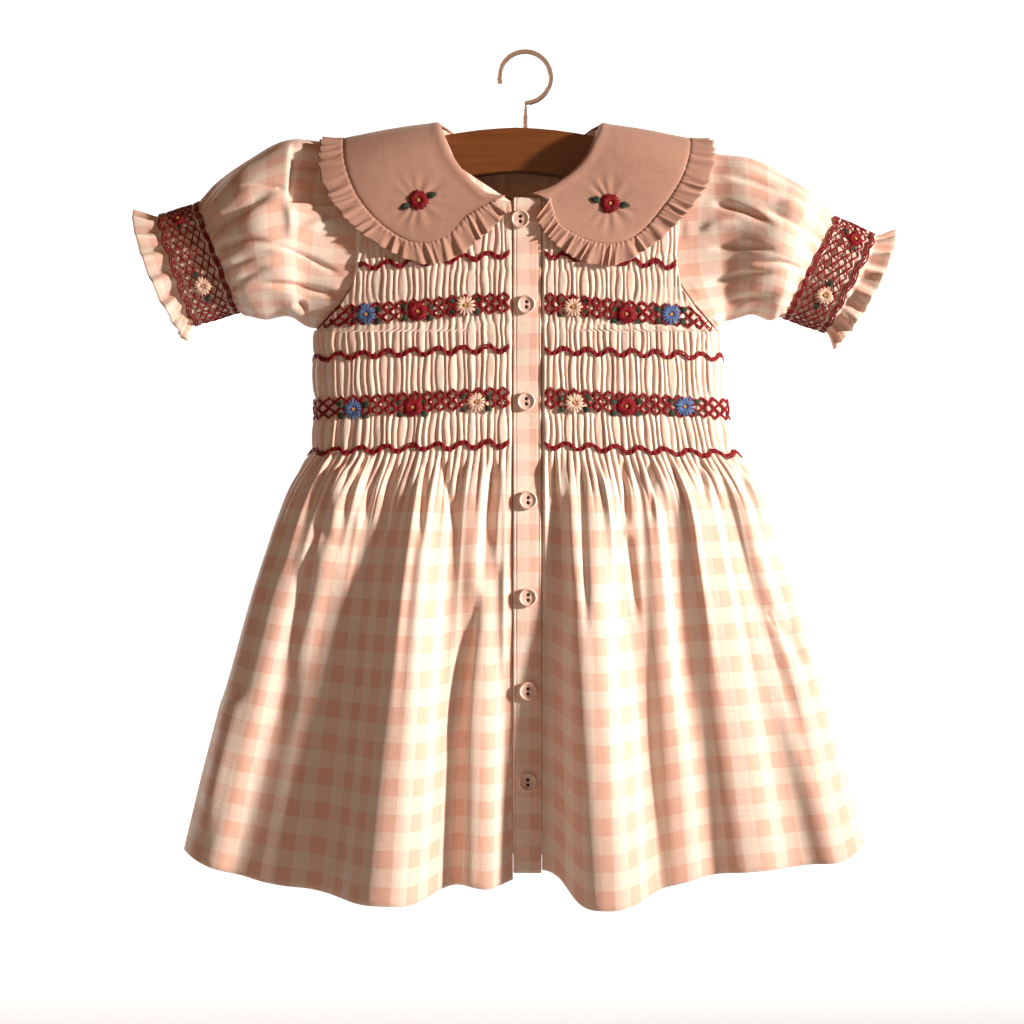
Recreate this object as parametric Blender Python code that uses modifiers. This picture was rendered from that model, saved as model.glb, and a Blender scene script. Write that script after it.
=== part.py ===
# A child's smocked gingham dress with a frilled round collar, on the wooden hanger that holds it.
# Front faces -Y, +Z is up, the wearer's right is -X. The origin is where a rail touches the hook.
import bpy
import bmesh
import math
import numpy as np
from mathutils import Vector

MM = 0.001          # every size below is in millimetres
SEAM = 0.35         # space between pieces that are sewn together
CLOTH = 1.2         # wall of gingham
COLLAR_CLOTH = 1.2
FRILL_CLOTH = 1.0
PLACKET_CLOTH = 2.0
PLACKET_LEFT = -7.2
PLACKET_RIGHT = 9.6
CENTRE = -5.0       # middle of the shoulders, slightly off the hook
NECK_CENTRE = -3.0
SHOULDER_RADIUS = 20.0
PLEATS_PER_FRONT = 26
PLEAT_HEIGHT = 1.2
WAIST = 239.0
FRONT_HEM = 480.0

# Body outline by height: drop below the hook, left edge, right edge, depth in front, depth behind.
OUTLINE = [
    (40, -125.0, 115.5, 20.0, 18.0),
    (100, -125.0, 115.5, 21.0, 18.0),
    (168, -124.4, 115.2, 22.0, 18.0),
    (203, -123.6, 117.2, 22.0, 18.0),
    (224, -123.8, 120.4, 22.0, 18.0),
    (239, -125.6, 124.4, 23.0, 18.0),
    (263, -139.5, 140.5, 25.0, 18.5),
    (307, -156.5, 154.5, 27.0, 19.0),
    (370, -174.5, 173.0, 29.0, 20.0),
    (432, -191.5, 190.0, 31.0, 21.0),
    (480, -203.0, 201.5, 32.0, 22.0),
]

# Shoulder seam: distance from the centre line, drop.
SHOULDER = [(0, 44.0), (40, 44.4), (47, 45.0), (72, 49.3), (96, 55.0), (104, 56.8), (125, 57.5)]

# Left armhole edge, straight between panel rows: drop, x. The right one mirrors it about CENTRE.
ARMHOLE = [(57.0, -108.0), (66, -106.0), (84, -103.0), (122, -99.5), (141, -102.0), (154, -111.0),
           (168, -124.2)]

# Front panel rows above the waist: drop, how far the row follows the shoulder seam, neck edge x.
FRONT_ROWS = [
    (57.0, 1.0, -50.0),
    (66.0, 0.6, -46.0),
    (76.0, 0.3, -39.0),
    (84.0, 0.1, -31.0),
    (88.5, 0.0, -20.0),
    (91.5, 0.0, PLACKET_LEFT - SEAM),
    (122.0, 0.0, PLACKET_LEFT - SEAM),
    (141.0, 0.0, PLACKET_LEFT - SEAM),
    (154.0, 0.0, PLACKET_LEFT - SEAM),
    (168.0, 0.0, PLACKET_LEFT - SEAM),
    (203.0, 0.0, PLACKET_LEFT - SEAM),
    (WAIST, 0.0, PLACKET_LEFT - SEAM),
]

# Back panel rows above the waist: drop, how far the row follows the neck and shoulder line.
BACK_ROWS = [(57.0, 1.0), (66.0, 0.6), (84.0, 0.2), (122.0, 0.0), (141.0, 0.0), (154.0, 0.0),
             (168.0, 0.0), (203.0, 0.0), (WAIST, 0.0)]
BACK_NECK = [(0, 60.5), (15, 60.0), (27, 57.0), (35.5, 51.0), (42.5, 46.6), (47, 45.0)]
SKIRT_ROWS = [0.1, 0.28, 0.52, 0.76, 1.0]
BACK_COLUMNS = 44

# Front hem: x, drop.
HEM_FRONT = [(-203, 476), (-190, 482), (-160, 490), (-125, 496), (-108, 499), (-82, 500.5), (-62, 500), (-50, 495),
             (-38, 492), (-22, 494), (-8, 490), (8, 484), (20, 488), (31, 500), (46, 503), (62, 501), (84, 493),
             (105, 488), (168, 482), (190, 479), (201.5, 473)]
HEM_BACK = [(-203, 476), (-120, 485), (-40, 480), (40, 487), (120, 480), (201.5, 473)]

# Skirt folds: x at waist, x at hem, height, width to the left, width to the right.
FRONT_FOLDS = [
    (-124, -190, 7.0, 11.0, 15.0),
    (-100, -146, 7.0, 16.0, 14.0),
    (-60, -82, 32.0, 25.0, 25.0),
    (-28, -27, 11.0, 12.0, 13.0),
    (30, 48, 33.0, 23.0, 24.0),
    (74, 92, 8.0, 12.0, 12.0),
    (96, 134, 9.0, 16.0, 18.0),
    (118, 186, 8.0, 14.0, 12.0),
]
BACK_FOLDS = [
    (-112, -172, 6.0, 14.0, 14.0),
    (-70, -104, 11.0, 22.0, 18.0),
    (-30, -38, 7.0, 13.0, 15.0),
    (6, 20, 12.0, 20.0, 22.0),
    (52, 76, 6.0, 13.0, 13.0),
    (88, 128, 10.0, 18.0, 20.0),
    (118, 180, 5.0, 12.0, 12.0),
]

# Collar by station from the front end round to the centre back. side is 1 in front, -1 behind, 0 on the
# shoulder seam; then x and drop of the neck edge, the frill seam and the frill's edge, and the last two
# columns lift the frill seam and the frill's edge off the dress, more where they lie on the sleeve head.
COLLAR_LEFT = [
    (1, -12, 88, -19, 92, -10, 98, 3.0, 3.2),
    (1, -22, 86.5, -33, 100, -25, 113, 3.0, 3.2),
    (1, -29.5, 81, -47, 113, -42, 125.5, 3.0, 3.2),
    (1, -34, 76, -65, 116.5, -62, 128.5, 3.0, 3.4),
    (1, -39, 70, -83, 107, -90, 115, 3.4, 5.0),
    (1, -44, 62, -97, 91, -108, 97, 5.0, 9.5),
    (1, -47.5, 54, -104.5, 73, -116.5, 77, 5.5, 10.0),
    (1, -49, 49.5, -107, 60, -119, 62, 5.0, 8.5),
    (0, -50, 0, -107.5, 0, -120, 0, 3.6, 4.0),
    (-1, -45.5, 46.4, -107, 60, -119, 62, 5.0, 8.5),
    (-1, -38.5, 50.5, -101, 82, -111, 91, 5.5, 10.0),
    (-1, -30, 57, -82, 100, -89, 111, 3.6, 5.5),
    (-1, -18, 60.5, -50, 112, -53, 124.5, 3.0, 3.4),
    (-1, -6, 61, -6, 116, -6, 129, 3.0, 3.4),
]
COLLAR_RIGHT = [
    (1, 4, 86.5, 14, 90, 6, 101, 3.0, 3.2),
    (1, 14, 83, 20, 105, 13, 113, 3.0, 3.2),
    (1, 21, 78.5, 36, 115, 30, 126, 3.0, 3.2),
    (1, 27, 74, 52, 117, 51, 130, 3.0, 3.4),
    (1, 32, 69, 68, 110, 74, 118, 3.4, 5.0),
    (1, 37, 62, 82, 94, 92, 100, 5.0, 9.0),
    (1, 41, 54, 92, 77, 104, 81, 5.5, 10.0),
    (1, 43, 49.5, 97, 62, 109, 64, 5.0, 8.5),
    (0, 44, 0, 97.5, 0, 110, 0, 3.6, 4.0),
    (-1, 39.5, 46.4, 97, 60, 109, 62, 5.0, 8.5),
    (-1, 32.5, 50.5, 91, 82, 101, 91, 5.5, 10.0),
    (-1, 24, 57, 72, 100, 79, 111, 3.6, 5.5),
    (-1, 12, 60.5, 40, 112, 43, 124.5, 3.0, 3.4),
    (-1, 0, 61, 0, 116, 0, 129, 3.0, 3.4),
]
LEAF_STATIONS = 22
LEAF_COLUMNS = 3
FRILL_WAVES = 30
FRILL_WAVE_HEIGHT = 1.5

# Sleeve rings past the armhole: top x, top drop, bottom x, bottom drop, half depth, gather height from
# the top of a gather to the bottom of the next, and how far the ring's middle stands out past its ends.
SLEEVE_LEFT = [
    (-120, 52.5, -129, 164.0, 20.0, 0.0, 0.0),
    (-140, 52.0, -140, 158.5, 28.0, 0.5, 0.0),
    (-165, 62.5, -155, 158.5, 31.0, 1.0, 0.0),
    (-184, 79.0, -167, 156.5, 24.0, 1.4, 0.0),
    (-195, 90.0, -171.5, 153.5, 14.0, 1.2, 0.0),
    (-207, 94.5, -185, 157.5, 14.5, 0.9, 1.0),
    (-219.5, 98.0, -198.5, 162.0, 14.0, 1.2, 2.0),
    (-235, 96.5, -203.5, 171.5, 17.0, 3.0, 3.5),
]
SLEEVE_RIGHT = [
    (112, 59.0, 121, 160.0, 20.0, 0.0, 0.0),
    (134, 63.0, 134, 157.0, 27.0, 0.5, 0.0),
    (160, 75.0, 146, 159.0, 30.0, 1.0, 0.0),
    (176, 88.5, 152, 158.0, 23.0, 1.4, 0.0),
    (185, 98.5, 155.5, 157.0, 13.5, 1.2, 0.0),
    (197, 104.0, 168, 161.5, 14.0, 0.9, 1.0),
    (209.5, 109.5, 180, 166.0, 13.5, 1.2, 2.0),
    (222.5, 108.5, 187.0, 176.0, 16.5, 3.0, 3.5),
]
SLEEVE_GATHERS = 18
UNDERARM_RISE = 3.0
SLEEVE_STATIONS = 11

# Buttons: x, drop.
BUTTONS = [(-3.0, 102), (0.5, 152.5), (0.5, 209.5), (1.5, 268), (1.5, 325), (1.5, 380), (1.5, 433)]
BUTTON_RADIUS = 5.6
BUTTON_THICK = 2.4
BUTTON_HOLE_RADIUS = 0.9
BUTTON_HOLE_OFFSET = 1.5

# Embroidered flowers worked thick on the smocking: name, x, drop.
BODICE_FLOWERS = [
    ("blue_upper_left", -94, 158), ("red_upper_left", -63.5, 156.5), ("cream_upper_left", -35.5, 153),
    ("cream_upper_right", 28, 154), ("red_upper_right", 59.5, 158), ("blue_upper_right", 86, 158),
    ("blue_lower_left", -101.5, 214), ("red_lower_left", -66.5, 213), ("cream_lower_left", -29, 210),
    ("cream_lower_right", 29, 210.5), ("red_lower_right", 59.5, 212.5), ("blue_lower_right", 94, 212.5),
]
COLLAR_FLOWERS = [("red_collar_left", -63, 91), ("red_collar_right", 50, 93)]
FLOWER_RADIUS = 7.0
FLOWER_HEIGHT = 1.6
PETALS = 8
FLOWER_COLOURS = {"blue": (0.18, 0.29, 0.48), "red": (0.27, 0.01, 0.03), "cream": (0.80, 0.66, 0.52)}

# Neck label, bare.
LABEL_WIDTH = 13.0
LABEL_TOP = 63.0
LABEL_BOTTOM = 84.0
LABEL_X = -4.0
LABEL_THICK = 1.0

# Hanger bar: distance from its middle, top edge drop, bottom edge drop.
BAR_PROFILE = [(0, 45.0, 71.0), (18, 46.0, 72.5), (36, 48.4, 75.8), (48, 50.5, 78.5), (72, 55.4, 81.0),
               (92, 60.4, 82.0), (97, 65.0, 78.0)]
BAR_THICK = 12.0
BAR_CENTRE = CENTRE
HOOK_WIRE_RADIUS = 1.5
HOOK_INNER_RADIUS = 14.0
HOOK_TIP_ANGLE = 195.0


def clear_scene():
    for obj in list(bpy.data.objects):
        bpy.data.objects.remove(obj)


# Smooth curve through a table's rows, with the mean slope at each row.
def smooth(at, stations, values):
    at = np.asarray(at, dtype=float)
    stations = np.asarray(stations, dtype=float)
    values = np.asarray(values, dtype=float)
    slopes = np.gradient(values, stations, axis=0)
    index = np.clip(np.searchsorted(stations, at, side="right") - 1, 0, len(stations) - 2)
    span = stations[index + 1] - stations[index]
    t = np.clip((at - stations[index]) / span, 0.0, 1.0)
    extra = values.ndim - 1
    t = t.reshape(t.shape + (1,) * extra)
    span = span.reshape(span.shape + (1,) * extra)
    rest = 1.0 - t
    return ((1 + 2 * t) * rest ** 2 * values[index] + t * rest ** 2 * span * slopes[index]
            + t ** 2 * (3 - 2 * t) * values[index + 1] - t ** 2 * rest * span * slopes[index + 1])


def column(table, index):
    return [row[index] for row in table]


def shoulder_drop(x):
    return smooth(np.abs(np.asarray(x) - CENTRE), column(SHOULDER, 0), column(SHOULDER, 1))


def outline(drop, index):
    return smooth(drop, column(OUTLINE, 0), column(OUTLINE, index))


# The bend over the shoulder: 0 on the seam, 1 one shoulder radius below it.
def shoulder_bend(below):
    ratio = np.clip(1.0 - below / SHOULDER_RADIUS, 0.0, 1.0)
    return np.sqrt(1.0 - ratio ** 2)


# Width profile: 1 in the middle, 0 at the side seams, (1 - |t|^3)^(1/3).
def side_profile(x, left, right):
    middle = (left + right) / 2
    half = (right - left) / 2
    t = np.clip(np.abs((x - middle) / half), 0.0, 1.0)
    return (1.0 - t ** 3) ** (1 / 3)


# Sum of ridges exp(-|dx / width|^3) that start at the waist and spread to the hem.
def fold_height(x, down, folds):
    total = np.zeros(np.broadcast(x, down).shape)
    grow = np.clip(down, 0.0, 1.0) ** 0.9
    for waist_x, hem_x, height, left_width, right_width in folds:
        middle = waist_x + (hem_x - waist_x) * down
        spread = 0.45 + 0.55 * np.clip(down, 0.0, 1.0)
        width = np.where(x < middle, left_width, right_width) * spread
        total = total + height * grow * np.exp(-np.abs((x - middle) / width) ** 3)
    return total


# Y of the body's inner face: side is -1 in front and 1 behind.
def body_depth(x, drop, side):
    x = np.asarray(x, dtype=float)
    drop = np.asarray(drop, dtype=float)
    left = outline(drop, 1)
    right = outline(drop, 2)
    depth = outline(drop, 3 if side < 0 else 4)
    down = np.clip((drop - WAIST) / (FRONT_HEM - WAIST), 0.0, 1.1)
    folds = FRONT_FOLDS if side < 0 else BACK_FOLDS
    profile = side_profile(x, left, right)
    bend = shoulder_bend(drop - shoulder_drop(x))
    fade = np.clip(profile * 1.6, 0.0, 1.0)
    return side * (depth * bend * profile + fold_height(x, down, folds) * fade)


def armhole_x(drop, right_side):
    x = np.interp(drop, column(ARMHOLE, 0), column(ARMHOLE, 1))
    return 2 * CENTRE - x if right_side else x


# Side limit of a panel at one height: the armhole edge, and below it the side seam.
def side_limit(drop, right_side):
    if drop < ARMHOLE[-1][0]:
        return float(armhole_x(drop, right_side))
    return float(outline(drop, 2 if right_side else 1))


# Evenly spaced points along a row of the body, from start_x to end_x.
def row_points(drop, start_x, end_x, count, side):
    fine = np.linspace(0.0, math.pi, 400)
    xs = start_x + (end_x - start_x) * (1 - np.cos(fine)) / 2
    left = float(outline(drop, 1))
    right = float(outline(drop, 2))
    depth = float(outline(drop, 3 if side < 0 else 4))
    ys = side * depth * side_profile(xs, left, right)
    length = np.concatenate([[0.0], np.cumsum(np.hypot(np.diff(xs), np.diff(ys)))])
    return np.interp(np.linspace(0.0, length[-1], count), length, xs)


def grid_normals(grid, closed=False):
    if closed:
        along = (np.roll(grid, -1, axis=1) - np.roll(grid, 1, axis=1)) / 2
    else:
        along = np.gradient(grid, axis=1)
    down = np.gradient(grid, axis=0)
    normal = np.cross(along, down)
    return normal / np.maximum(np.linalg.norm(normal, axis=2, keepdims=True), 1e-9)


def unit(vectors):
    return vectors / np.maximum(np.linalg.norm(vectors, axis=-1, keepdims=True), 1e-9)


def make_material(name, colour, roughness, metallic=0.0):
    material = bpy.data.materials.get(name)
    if material is None:
        material = bpy.data.materials.new(name)
        material.use_nodes = True
        shader = material.node_tree.nodes["Principled BSDF"]
        shader.inputs["Base Color"].default_value = (*colour, 1.0)
        shader.inputs["Roughness"].default_value = roughness
        shader.inputs["Metallic"].default_value = metallic
        material.diffuse_color = (*colour, 1.0)
    return material


def add_object(name, mesh, material, collection):
    obj = bpy.data.objects.new(name, mesh)
    obj.data.materials.append(material)
    collection.objects.link(obj)
    return obj


# A closed wall between an inner and an outer grid of points; closed joins the last column to the first.
def make_wall(name, inner, outer, material, collection, closed=False):
    rows, columns = inner.shape[:2]
    points = np.concatenate([inner.reshape(-1, 3), outer.reshape(-1, 3)]) * MM
    shift = rows * columns
    steps = columns if closed else columns - 1
    faces = []

    def corner(row, col):
        return row * columns + col % columns

    for row in range(rows - 1):
        for col in range(steps):
            square = (corner(row, col), corner(row, col + 1), corner(row + 1, col + 1), corner(row + 1, col))
            faces.append(square)
            faces.append(tuple(index + shift for index in reversed(square)))
    for row in (0, rows - 1):
        for col in range(steps):
            first, second = corner(row, col), corner(row, col + 1)
            faces.append((first, second, second + shift, first + shift))
    if not closed:
        for col in (0, columns - 1):
            for row in range(rows - 1):
                first, second = corner(row, col), corner(row + 1, col)
                faces.append((first, second, second + shift, first + shift))
    mesh = bpy.data.meshes.new(name)
    mesh.from_pydata(points.tolist(), [], faces)
    mesh.update()
    shell = bmesh.new()
    shell.from_mesh(mesh)
    bmesh.ops.recalc_face_normals(shell, faces=shell.faces)
    bmesh.ops.triangulate(shell, faces=shell.faces)
    shell.to_mesh(mesh)
    shell.free()
    mesh.shade_smooth()
    mesh.set_sharp_from_angle(angle=math.radians(50))
    return add_object(name, mesh, material, collection)


def as_points(x, y, drop):
    return np.stack(np.broadcast_arrays(x, y, -np.asarray(drop, dtype=float)), axis=-1)


# Grid of a front panel's inner face, from the side edge to the placket.
def front_grid(right_side):
    columns = 2 * PLEATS_PER_FRONT + 1
    inner_edge = PLACKET_RIGHT + SEAM if right_side else PLACKET_LEFT - SEAM
    rows = []
    for drop, follow, neck_x in FRONT_ROWS:
        start = side_limit(drop, right_side)
        if neck_x == PLACKET_LEFT - SEAM:
            end = inner_edge
        else:
            end = 2 * NECK_CENTRE - neck_x if right_side else neck_x
        xs = row_points(drop, start, end, columns, -1)
        drops = drop + follow * (shoulder_drop(xs) - FRONT_ROWS[0][0])
        rows.append(as_points(xs, body_depth(xs, drops, -1), drops))
    hem_x = row_points(FRONT_HEM, side_limit(FRONT_HEM, right_side), inner_edge, columns, -1)
    hem_drop = smooth(hem_x, column(HEM_FRONT, 0), column(HEM_FRONT, 1))
    for part in SKIRT_ROWS:
        drop = WAIST + (FRONT_HEM - WAIST) * part
        xs = row_points(drop, side_limit(drop, right_side), inner_edge, columns, -1)
        drops = WAIST + (hem_drop - WAIST) * part
        rows.append(as_points(xs, body_depth(xs, drop, -1), drops))
    return seat_side_seam(np.array(rows), right_side, -1)


# Below the armhole the side edge stands half a seam off the side plane.
def seat_side_seam(grid, right_side, side):
    low = -grid[:, 0, 2] > ARMHOLE[-1][0] - 1.0
    edge = grid[:, 0]
    edge[low, 1] = side * SEAM / 2
    edge[~low, 1] = side * np.maximum(np.abs(edge[~low, 1]), SEAM / 2)
    return grid


def relief_rows():
    above = [0.0 if row[0] < 100 else PLEAT_HEIGHT for row in FRONT_ROWS]
    below = [PLEAT_HEIGHT * keep for keep in (0.9, 0.45, 0.15, 0.0, 0.0)]
    return np.array(above + below)


# Normals whose edge columns lean no way that would push one panel into the next.
def panel_normals(grid, side, flat_columns=(), side_columns=()):
    normals = grid_normals(grid)
    if np.sum(normals[:, :, 1]) * side < 0:
        normals = -normals
    for col in flat_columns:
        normals[:, col, 0] = 0.0
    for col in side_columns:
        low = -grid[:, col, 2] > ARMHOLE[-1][0] - 1.0
        normals[low, col, 1] = 0.0
        normals[low, col, 2] = 0.0
        normals[~low, col, 0] = 0.0
    normals[0, :, 1] *= 0.4
    return unit(normals)


def make_front(name, right_side, material, collection):
    inner = front_grid(right_side)
    normals = panel_normals(inner, -1, flat_columns=(-1,), side_columns=(0,))
    wave = np.arange(inner.shape[1]) % 2
    relief = relief_rows()[:, None] * wave[None, :]
    outer = inner + normals * (CLOTH + relief)[:, :, None]
    make_wall(name, inner, outer, material, collection)
    return outer


def back_top(x):
    reach = np.abs(x - NECK_CENTRE)
    neck = smooth(reach, column(BACK_NECK, 0), column(BACK_NECK, 1))
    return np.where(reach < BACK_NECK[-1][0], neck, shoulder_drop(x))


def make_back(material, collection):
    rows = []
    for drop, follow in BACK_ROWS:
        xs = row_points(drop, side_limit(drop, False), side_limit(drop, True), BACK_COLUMNS + 1, 1)
        drops = drop + follow * (back_top(xs) - BACK_ROWS[0][0])
        rows.append(as_points(xs, body_depth(xs, drops, 1), drops))
    hem_x = row_points(FRONT_HEM, side_limit(FRONT_HEM, False), side_limit(FRONT_HEM, True),
                       BACK_COLUMNS + 1, 1)
    hem_drop = smooth(hem_x, column(HEM_BACK, 0), column(HEM_BACK, 1))
    for part in SKIRT_ROWS:
        drop = WAIST + (FRONT_HEM - WAIST) * part
        xs = row_points(drop, side_limit(drop, False), side_limit(drop, True), BACK_COLUMNS + 1, 1)
        drops = WAIST + (hem_drop - WAIST) * part
        rows.append(as_points(xs, body_depth(xs, drop, 1), drops))
    inner = seat_side_seam(np.array(rows), False, 1)
    inner = seat_side_seam(inner[:, ::-1], True, 1)[:, ::-1]
    inner[0, :, 1] = np.maximum(inner[0, :, 1], SEAM / 2)
    normals = panel_normals(inner, 1, side_columns=(0, -1))
    wave = np.arange(BACK_COLUMNS + 1) % 2
    keep = np.array([0.0] * 4 + [0.4, 0.5, 0.6, 0.9, 1.0] + [0.8, 0.4, 0.1, 0.0, 0.0])
    outer = inner + normals * (CLOTH + 0.8 * keep[:, None] * wave[None, :])[:, :, None]
    make_wall("back", inner, outer, material, collection)


def make_placket(material, collection):
    top = 89.5
    hem = float(smooth(1.0, column(HEM_FRONT, 0), column(HEM_FRONT, 1)))
    drops = np.linspace(top, hem, 18)
    xs = np.linspace(PLACKET_LEFT, PLACKET_RIGHT, 3)
    xs_grid, drop_grid = np.meshgrid(xs, drops)
    inner = as_points(xs_grid, body_depth(xs_grid, drop_grid, -1), drop_grid)
    normals = panel_normals(inner, -1, flat_columns=(0, -1))
    normals[:, :, 0] = 0.0
    outer = inner + unit(normals) * PLACKET_CLOTH
    make_wall("placket", inner, outer, material, collection)
    return outer


# Arc length over the shoulder for a point this far below the seam.
def arc_from_drop(below):
    quarter = SHOULDER_RADIUS * math.pi / 2
    bent = SHOULDER_RADIUS * np.arccos(np.clip(1.0 - below / SHOULDER_RADIUS, -1.0, 1.0))
    return np.where(below < SHOULDER_RADIUS, bent, quarter + below - SHOULDER_RADIUS)


def drop_from_arc(arc):
    quarter = SHOULDER_RADIUS * math.pi / 2
    bent = SHOULDER_RADIUS * (1.0 - np.cos(np.clip(arc / SHOULDER_RADIUS, 0.0, math.pi / 2)))
    return np.where(arc < quarter, bent, SHOULDER_RADIUS + arc - quarter)


# A point on the yoke from x and the signed arc from the shoulder seam, front positive.
def yoke_points(x, arc):
    drop = shoulder_drop(x) + drop_from_arc(np.abs(arc))
    front = body_depth(x, drop, -1)
    back = body_depth(x, drop, 1)
    return as_points(x, np.where(arc >= 0, front, back), drop)


# The collar's three lines as (x, arc) at even steps, with the two lift columns.
def collar_lines(table, stations):
    side = np.array(column(table, 0), dtype=float)
    lines = []
    for first in (1, 3, 5):
        x = np.array(column(table, first), dtype=float)
        drop = np.array(column(table, first + 1), dtype=float)
        below = np.maximum(drop - shoulder_drop(x), 0.0)
        lines.append(np.stack([x, side * arc_from_drop(below)], axis=1))
    steps = np.arange(len(table))
    at = np.linspace(0, len(table) - 1, stations)
    lifts = smooth(at, steps, np.array([row[7:9] for row in table]))
    return [smooth(at, steps, line) for line in lines], lifts


def outward(points):
    normals = grid_normals(points)
    middle = np.array([CENTRE, 0.0, -70.0])
    sign = np.sign(np.sum(normals * (points - middle) * np.array([0.05, 1.0, 0.3]), axis=2, keepdims=True))
    return normals * np.where(sign == 0, 1.0, sign)


def make_collar(side_name, table, leaf_material, frill_material, collection):
    (neck, seam, _), lifts = collar_lines(table, LEAF_STATIONS)
    across = np.linspace(0.0, 1.0, LEAF_COLUMNS + 1)[None, :, None]
    flat = neck[:, None, :] * (1 - across) + seam[:, None, :] * across
    base = yoke_points(flat[:, :, 0], flat[:, :, 1])
    normals = outward(base)
    rise = CLOTH + 1.0 + (lifts[:, None, 0:1] - 1.0) * across ** 0.8
    inner = base + normals * rise
    outer = inner + normals * COLLAR_CLOTH
    make_wall("collar_" + side_name, inner, outer, leaf_material, collection)

    count = 2 * FRILL_WAVES + 1
    (_, seam, edge), lifts = collar_lines(table, count)
    gap = SEAM / np.linalg.norm(edge - seam, axis=1, keepdims=True)
    across = np.array([0.0, 0.5, 1.0])[None, :, None]
    start = seam + (edge - seam) * gap * 2.6
    flat = start[:, None, :] * (1 - across) + edge[:, None, :] * across
    base = yoke_points(flat[:, :, 0], flat[:, :, 1])
    normals = outward(base)
    wave = (np.arange(count) % 2)[:, None, None] * FRILL_WAVE_HEIGHT * across
    rise = CLOTH + lifts[:, None, 0:1] * (1 - across) + lifts[:, None, 1:2] * across + wave
    inner = base + normals * rise
    make_wall("collar_frill_" + side_name, inner, inner + normals * FRILL_CLOTH, frill_material, collection)
    return outer


# Ring of the armhole edge, top first, round by the front.
def armhole_ring(right_side, count):
    angles = np.arange(count) * 2 * math.pi / count
    top = float(shoulder_drop(armhole_x(ARMHOLE[0][0], right_side)))
    bottom = ARMHOLE[-1][0]
    drops = top + (bottom - top) * (1 - np.cos(angles)) / 2
    xs = armhole_x(drops, right_side)
    sides = np.where(angles <= math.pi, -1, 1)
    ys = np.where(sides < 0, body_depth(xs, drops, -1), body_depth(xs, drops, 1))
    ys = ys - CLOTH * np.sin(angles)
    step = 1 if right_side else -1
    return as_points(xs + step * SEAM * 2, ys, drops - UNDERARM_RISE * (1 - np.cos(angles)) / 2)


def make_sleeve(name, table, right_side, material, collection):
    count = 2 * SLEEVE_GATHERS
    angles = np.arange(count) * 2 * math.pi / count
    rings = [armhole_ring(right_side, count)]
    for top_x, top_drop, bottom_x, bottom_drop, depth, _, bulge in table:
        along = (1 - np.cos(angles)) / 2
        length = math.hypot(bottom_x - top_x, bottom_drop - top_drop)
        stand_out = bulge * np.sin(angles) ** 2
        xs = top_x + (bottom_x - top_x) * along
        xs = xs + (1 if right_side else -1) * stand_out * (bottom_drop - top_drop) / length
        drops = top_drop + (bottom_drop - top_drop) * along
        drops = drops + stand_out * abs(bottom_x - top_x) / length
        ys = -depth * np.sin(angles)
        rings.append(as_points(xs, ys, drops))
    rings = np.array(rings)
    stations = np.arange(len(rings))
    at = np.linspace(0, len(rings) - 1, SLEEVE_STATIONS)
    skin = smooth(at, stations, rings)
    gathers = smooth(at, stations, [0.0] + column(table, 5))
    normals = grid_normals(skin, closed=True)
    centre = skin.mean(axis=1, keepdims=True)
    normals = normals * np.sign(np.sum(normals * (skin - centre)))
    normals[0, :, 0] = 0.0
    normals = unit(normals)
    wave = np.where(np.arange(count) % 2, 0.5, -0.5)
    outer = skin + normals * (gathers[:, None] * wave[None, :])[:, :, None]
    inner = outer - normals * CLOTH
    make_wall(name, inner, outer, material, collection, closed=True)


# Rotation that turns +Z onto the direction given.
def facing(direction):
    return Vector(direction).to_track_quat("Z", "Y").to_euler()


# The same grid with straight steps between its points.
def densify(grid, steps):
    for axis in (0, 1):
        count = grid.shape[axis]
        at = np.linspace(0, count - 1, (count - 1) * steps + 1)
        low = np.minimum(at.astype(int), count - 2)
        part = (at - low).reshape((-1, 1, 1) if axis == 0 else (1, -1, 1))
        grid = np.take(grid, low, axis=axis) * (1 - part) + np.take(grid, low + 1, axis=axis) * part
    return grid


# Where a small flat thing lies on a grid of points: above every point that it covers.
def seat_on(points, x, drop, radius, clearance):
    flat = densify(points, 12).reshape(-1, 3)
    flat = flat[flat[:, 1] < 0.0]
    near = np.hypot(flat[:, 0] - x, -flat[:, 2] - drop)
    patch = flat[near < radius * 1.6]
    middle = patch.mean(axis=0)
    normal = np.linalg.svd(patch - middle)[2][2]
    normal = -normal if normal[1] > 0 else normal
    under = flat[near < radius * 1.25]
    height = np.max((under - middle) @ normal) + clearance
    foot = np.array([x, middle[1], -drop])
    foot = foot - normal * ((foot - middle) @ normal)
    return foot + normal * height, normal


def make_button(number, place, normal, material, collection, cutters):
    name = "button_%d" % number
    bpy.ops.mesh.primitive_cylinder_add(vertices=16, radius=BUTTON_RADIUS * MM, depth=BUTTON_THICK * MM)
    button = bpy.context.object
    button.name = name
    button.data.name = name
    button.data.materials.append(material)
    button.location = Vector(place + normal * BUTTON_THICK / 2) * MM
    button.rotation_euler = facing(normal)
    move_to(button, collection)
    for side in (-1, 1):
        bpy.ops.mesh.primitive_cylinder_add(vertices=6, radius=BUTTON_HOLE_RADIUS * MM,
                                            depth=BUTTON_THICK * 3 * MM)
        cutter = bpy.context.object
        cutter.name = "%s_hole_cutter_%s" % (name, "low" if side < 0 else "high")
        cutter.parent = button
        cutter.location = (0.0, side * BUTTON_HOLE_OFFSET * MM, 0.0)
        cutter.hide_render = True
        cutter.display_type = "WIRE"
        move_to(cutter, cutters)
        hole = button.modifiers.new("Hole", "BOOLEAN")
        hole.operation = "DIFFERENCE"
        hole.object = cutter


def move_to(obj, collection):
    for other in list(obj.users_collection):
        other.objects.unlink(obj)
    collection.objects.link(obj)


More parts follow.
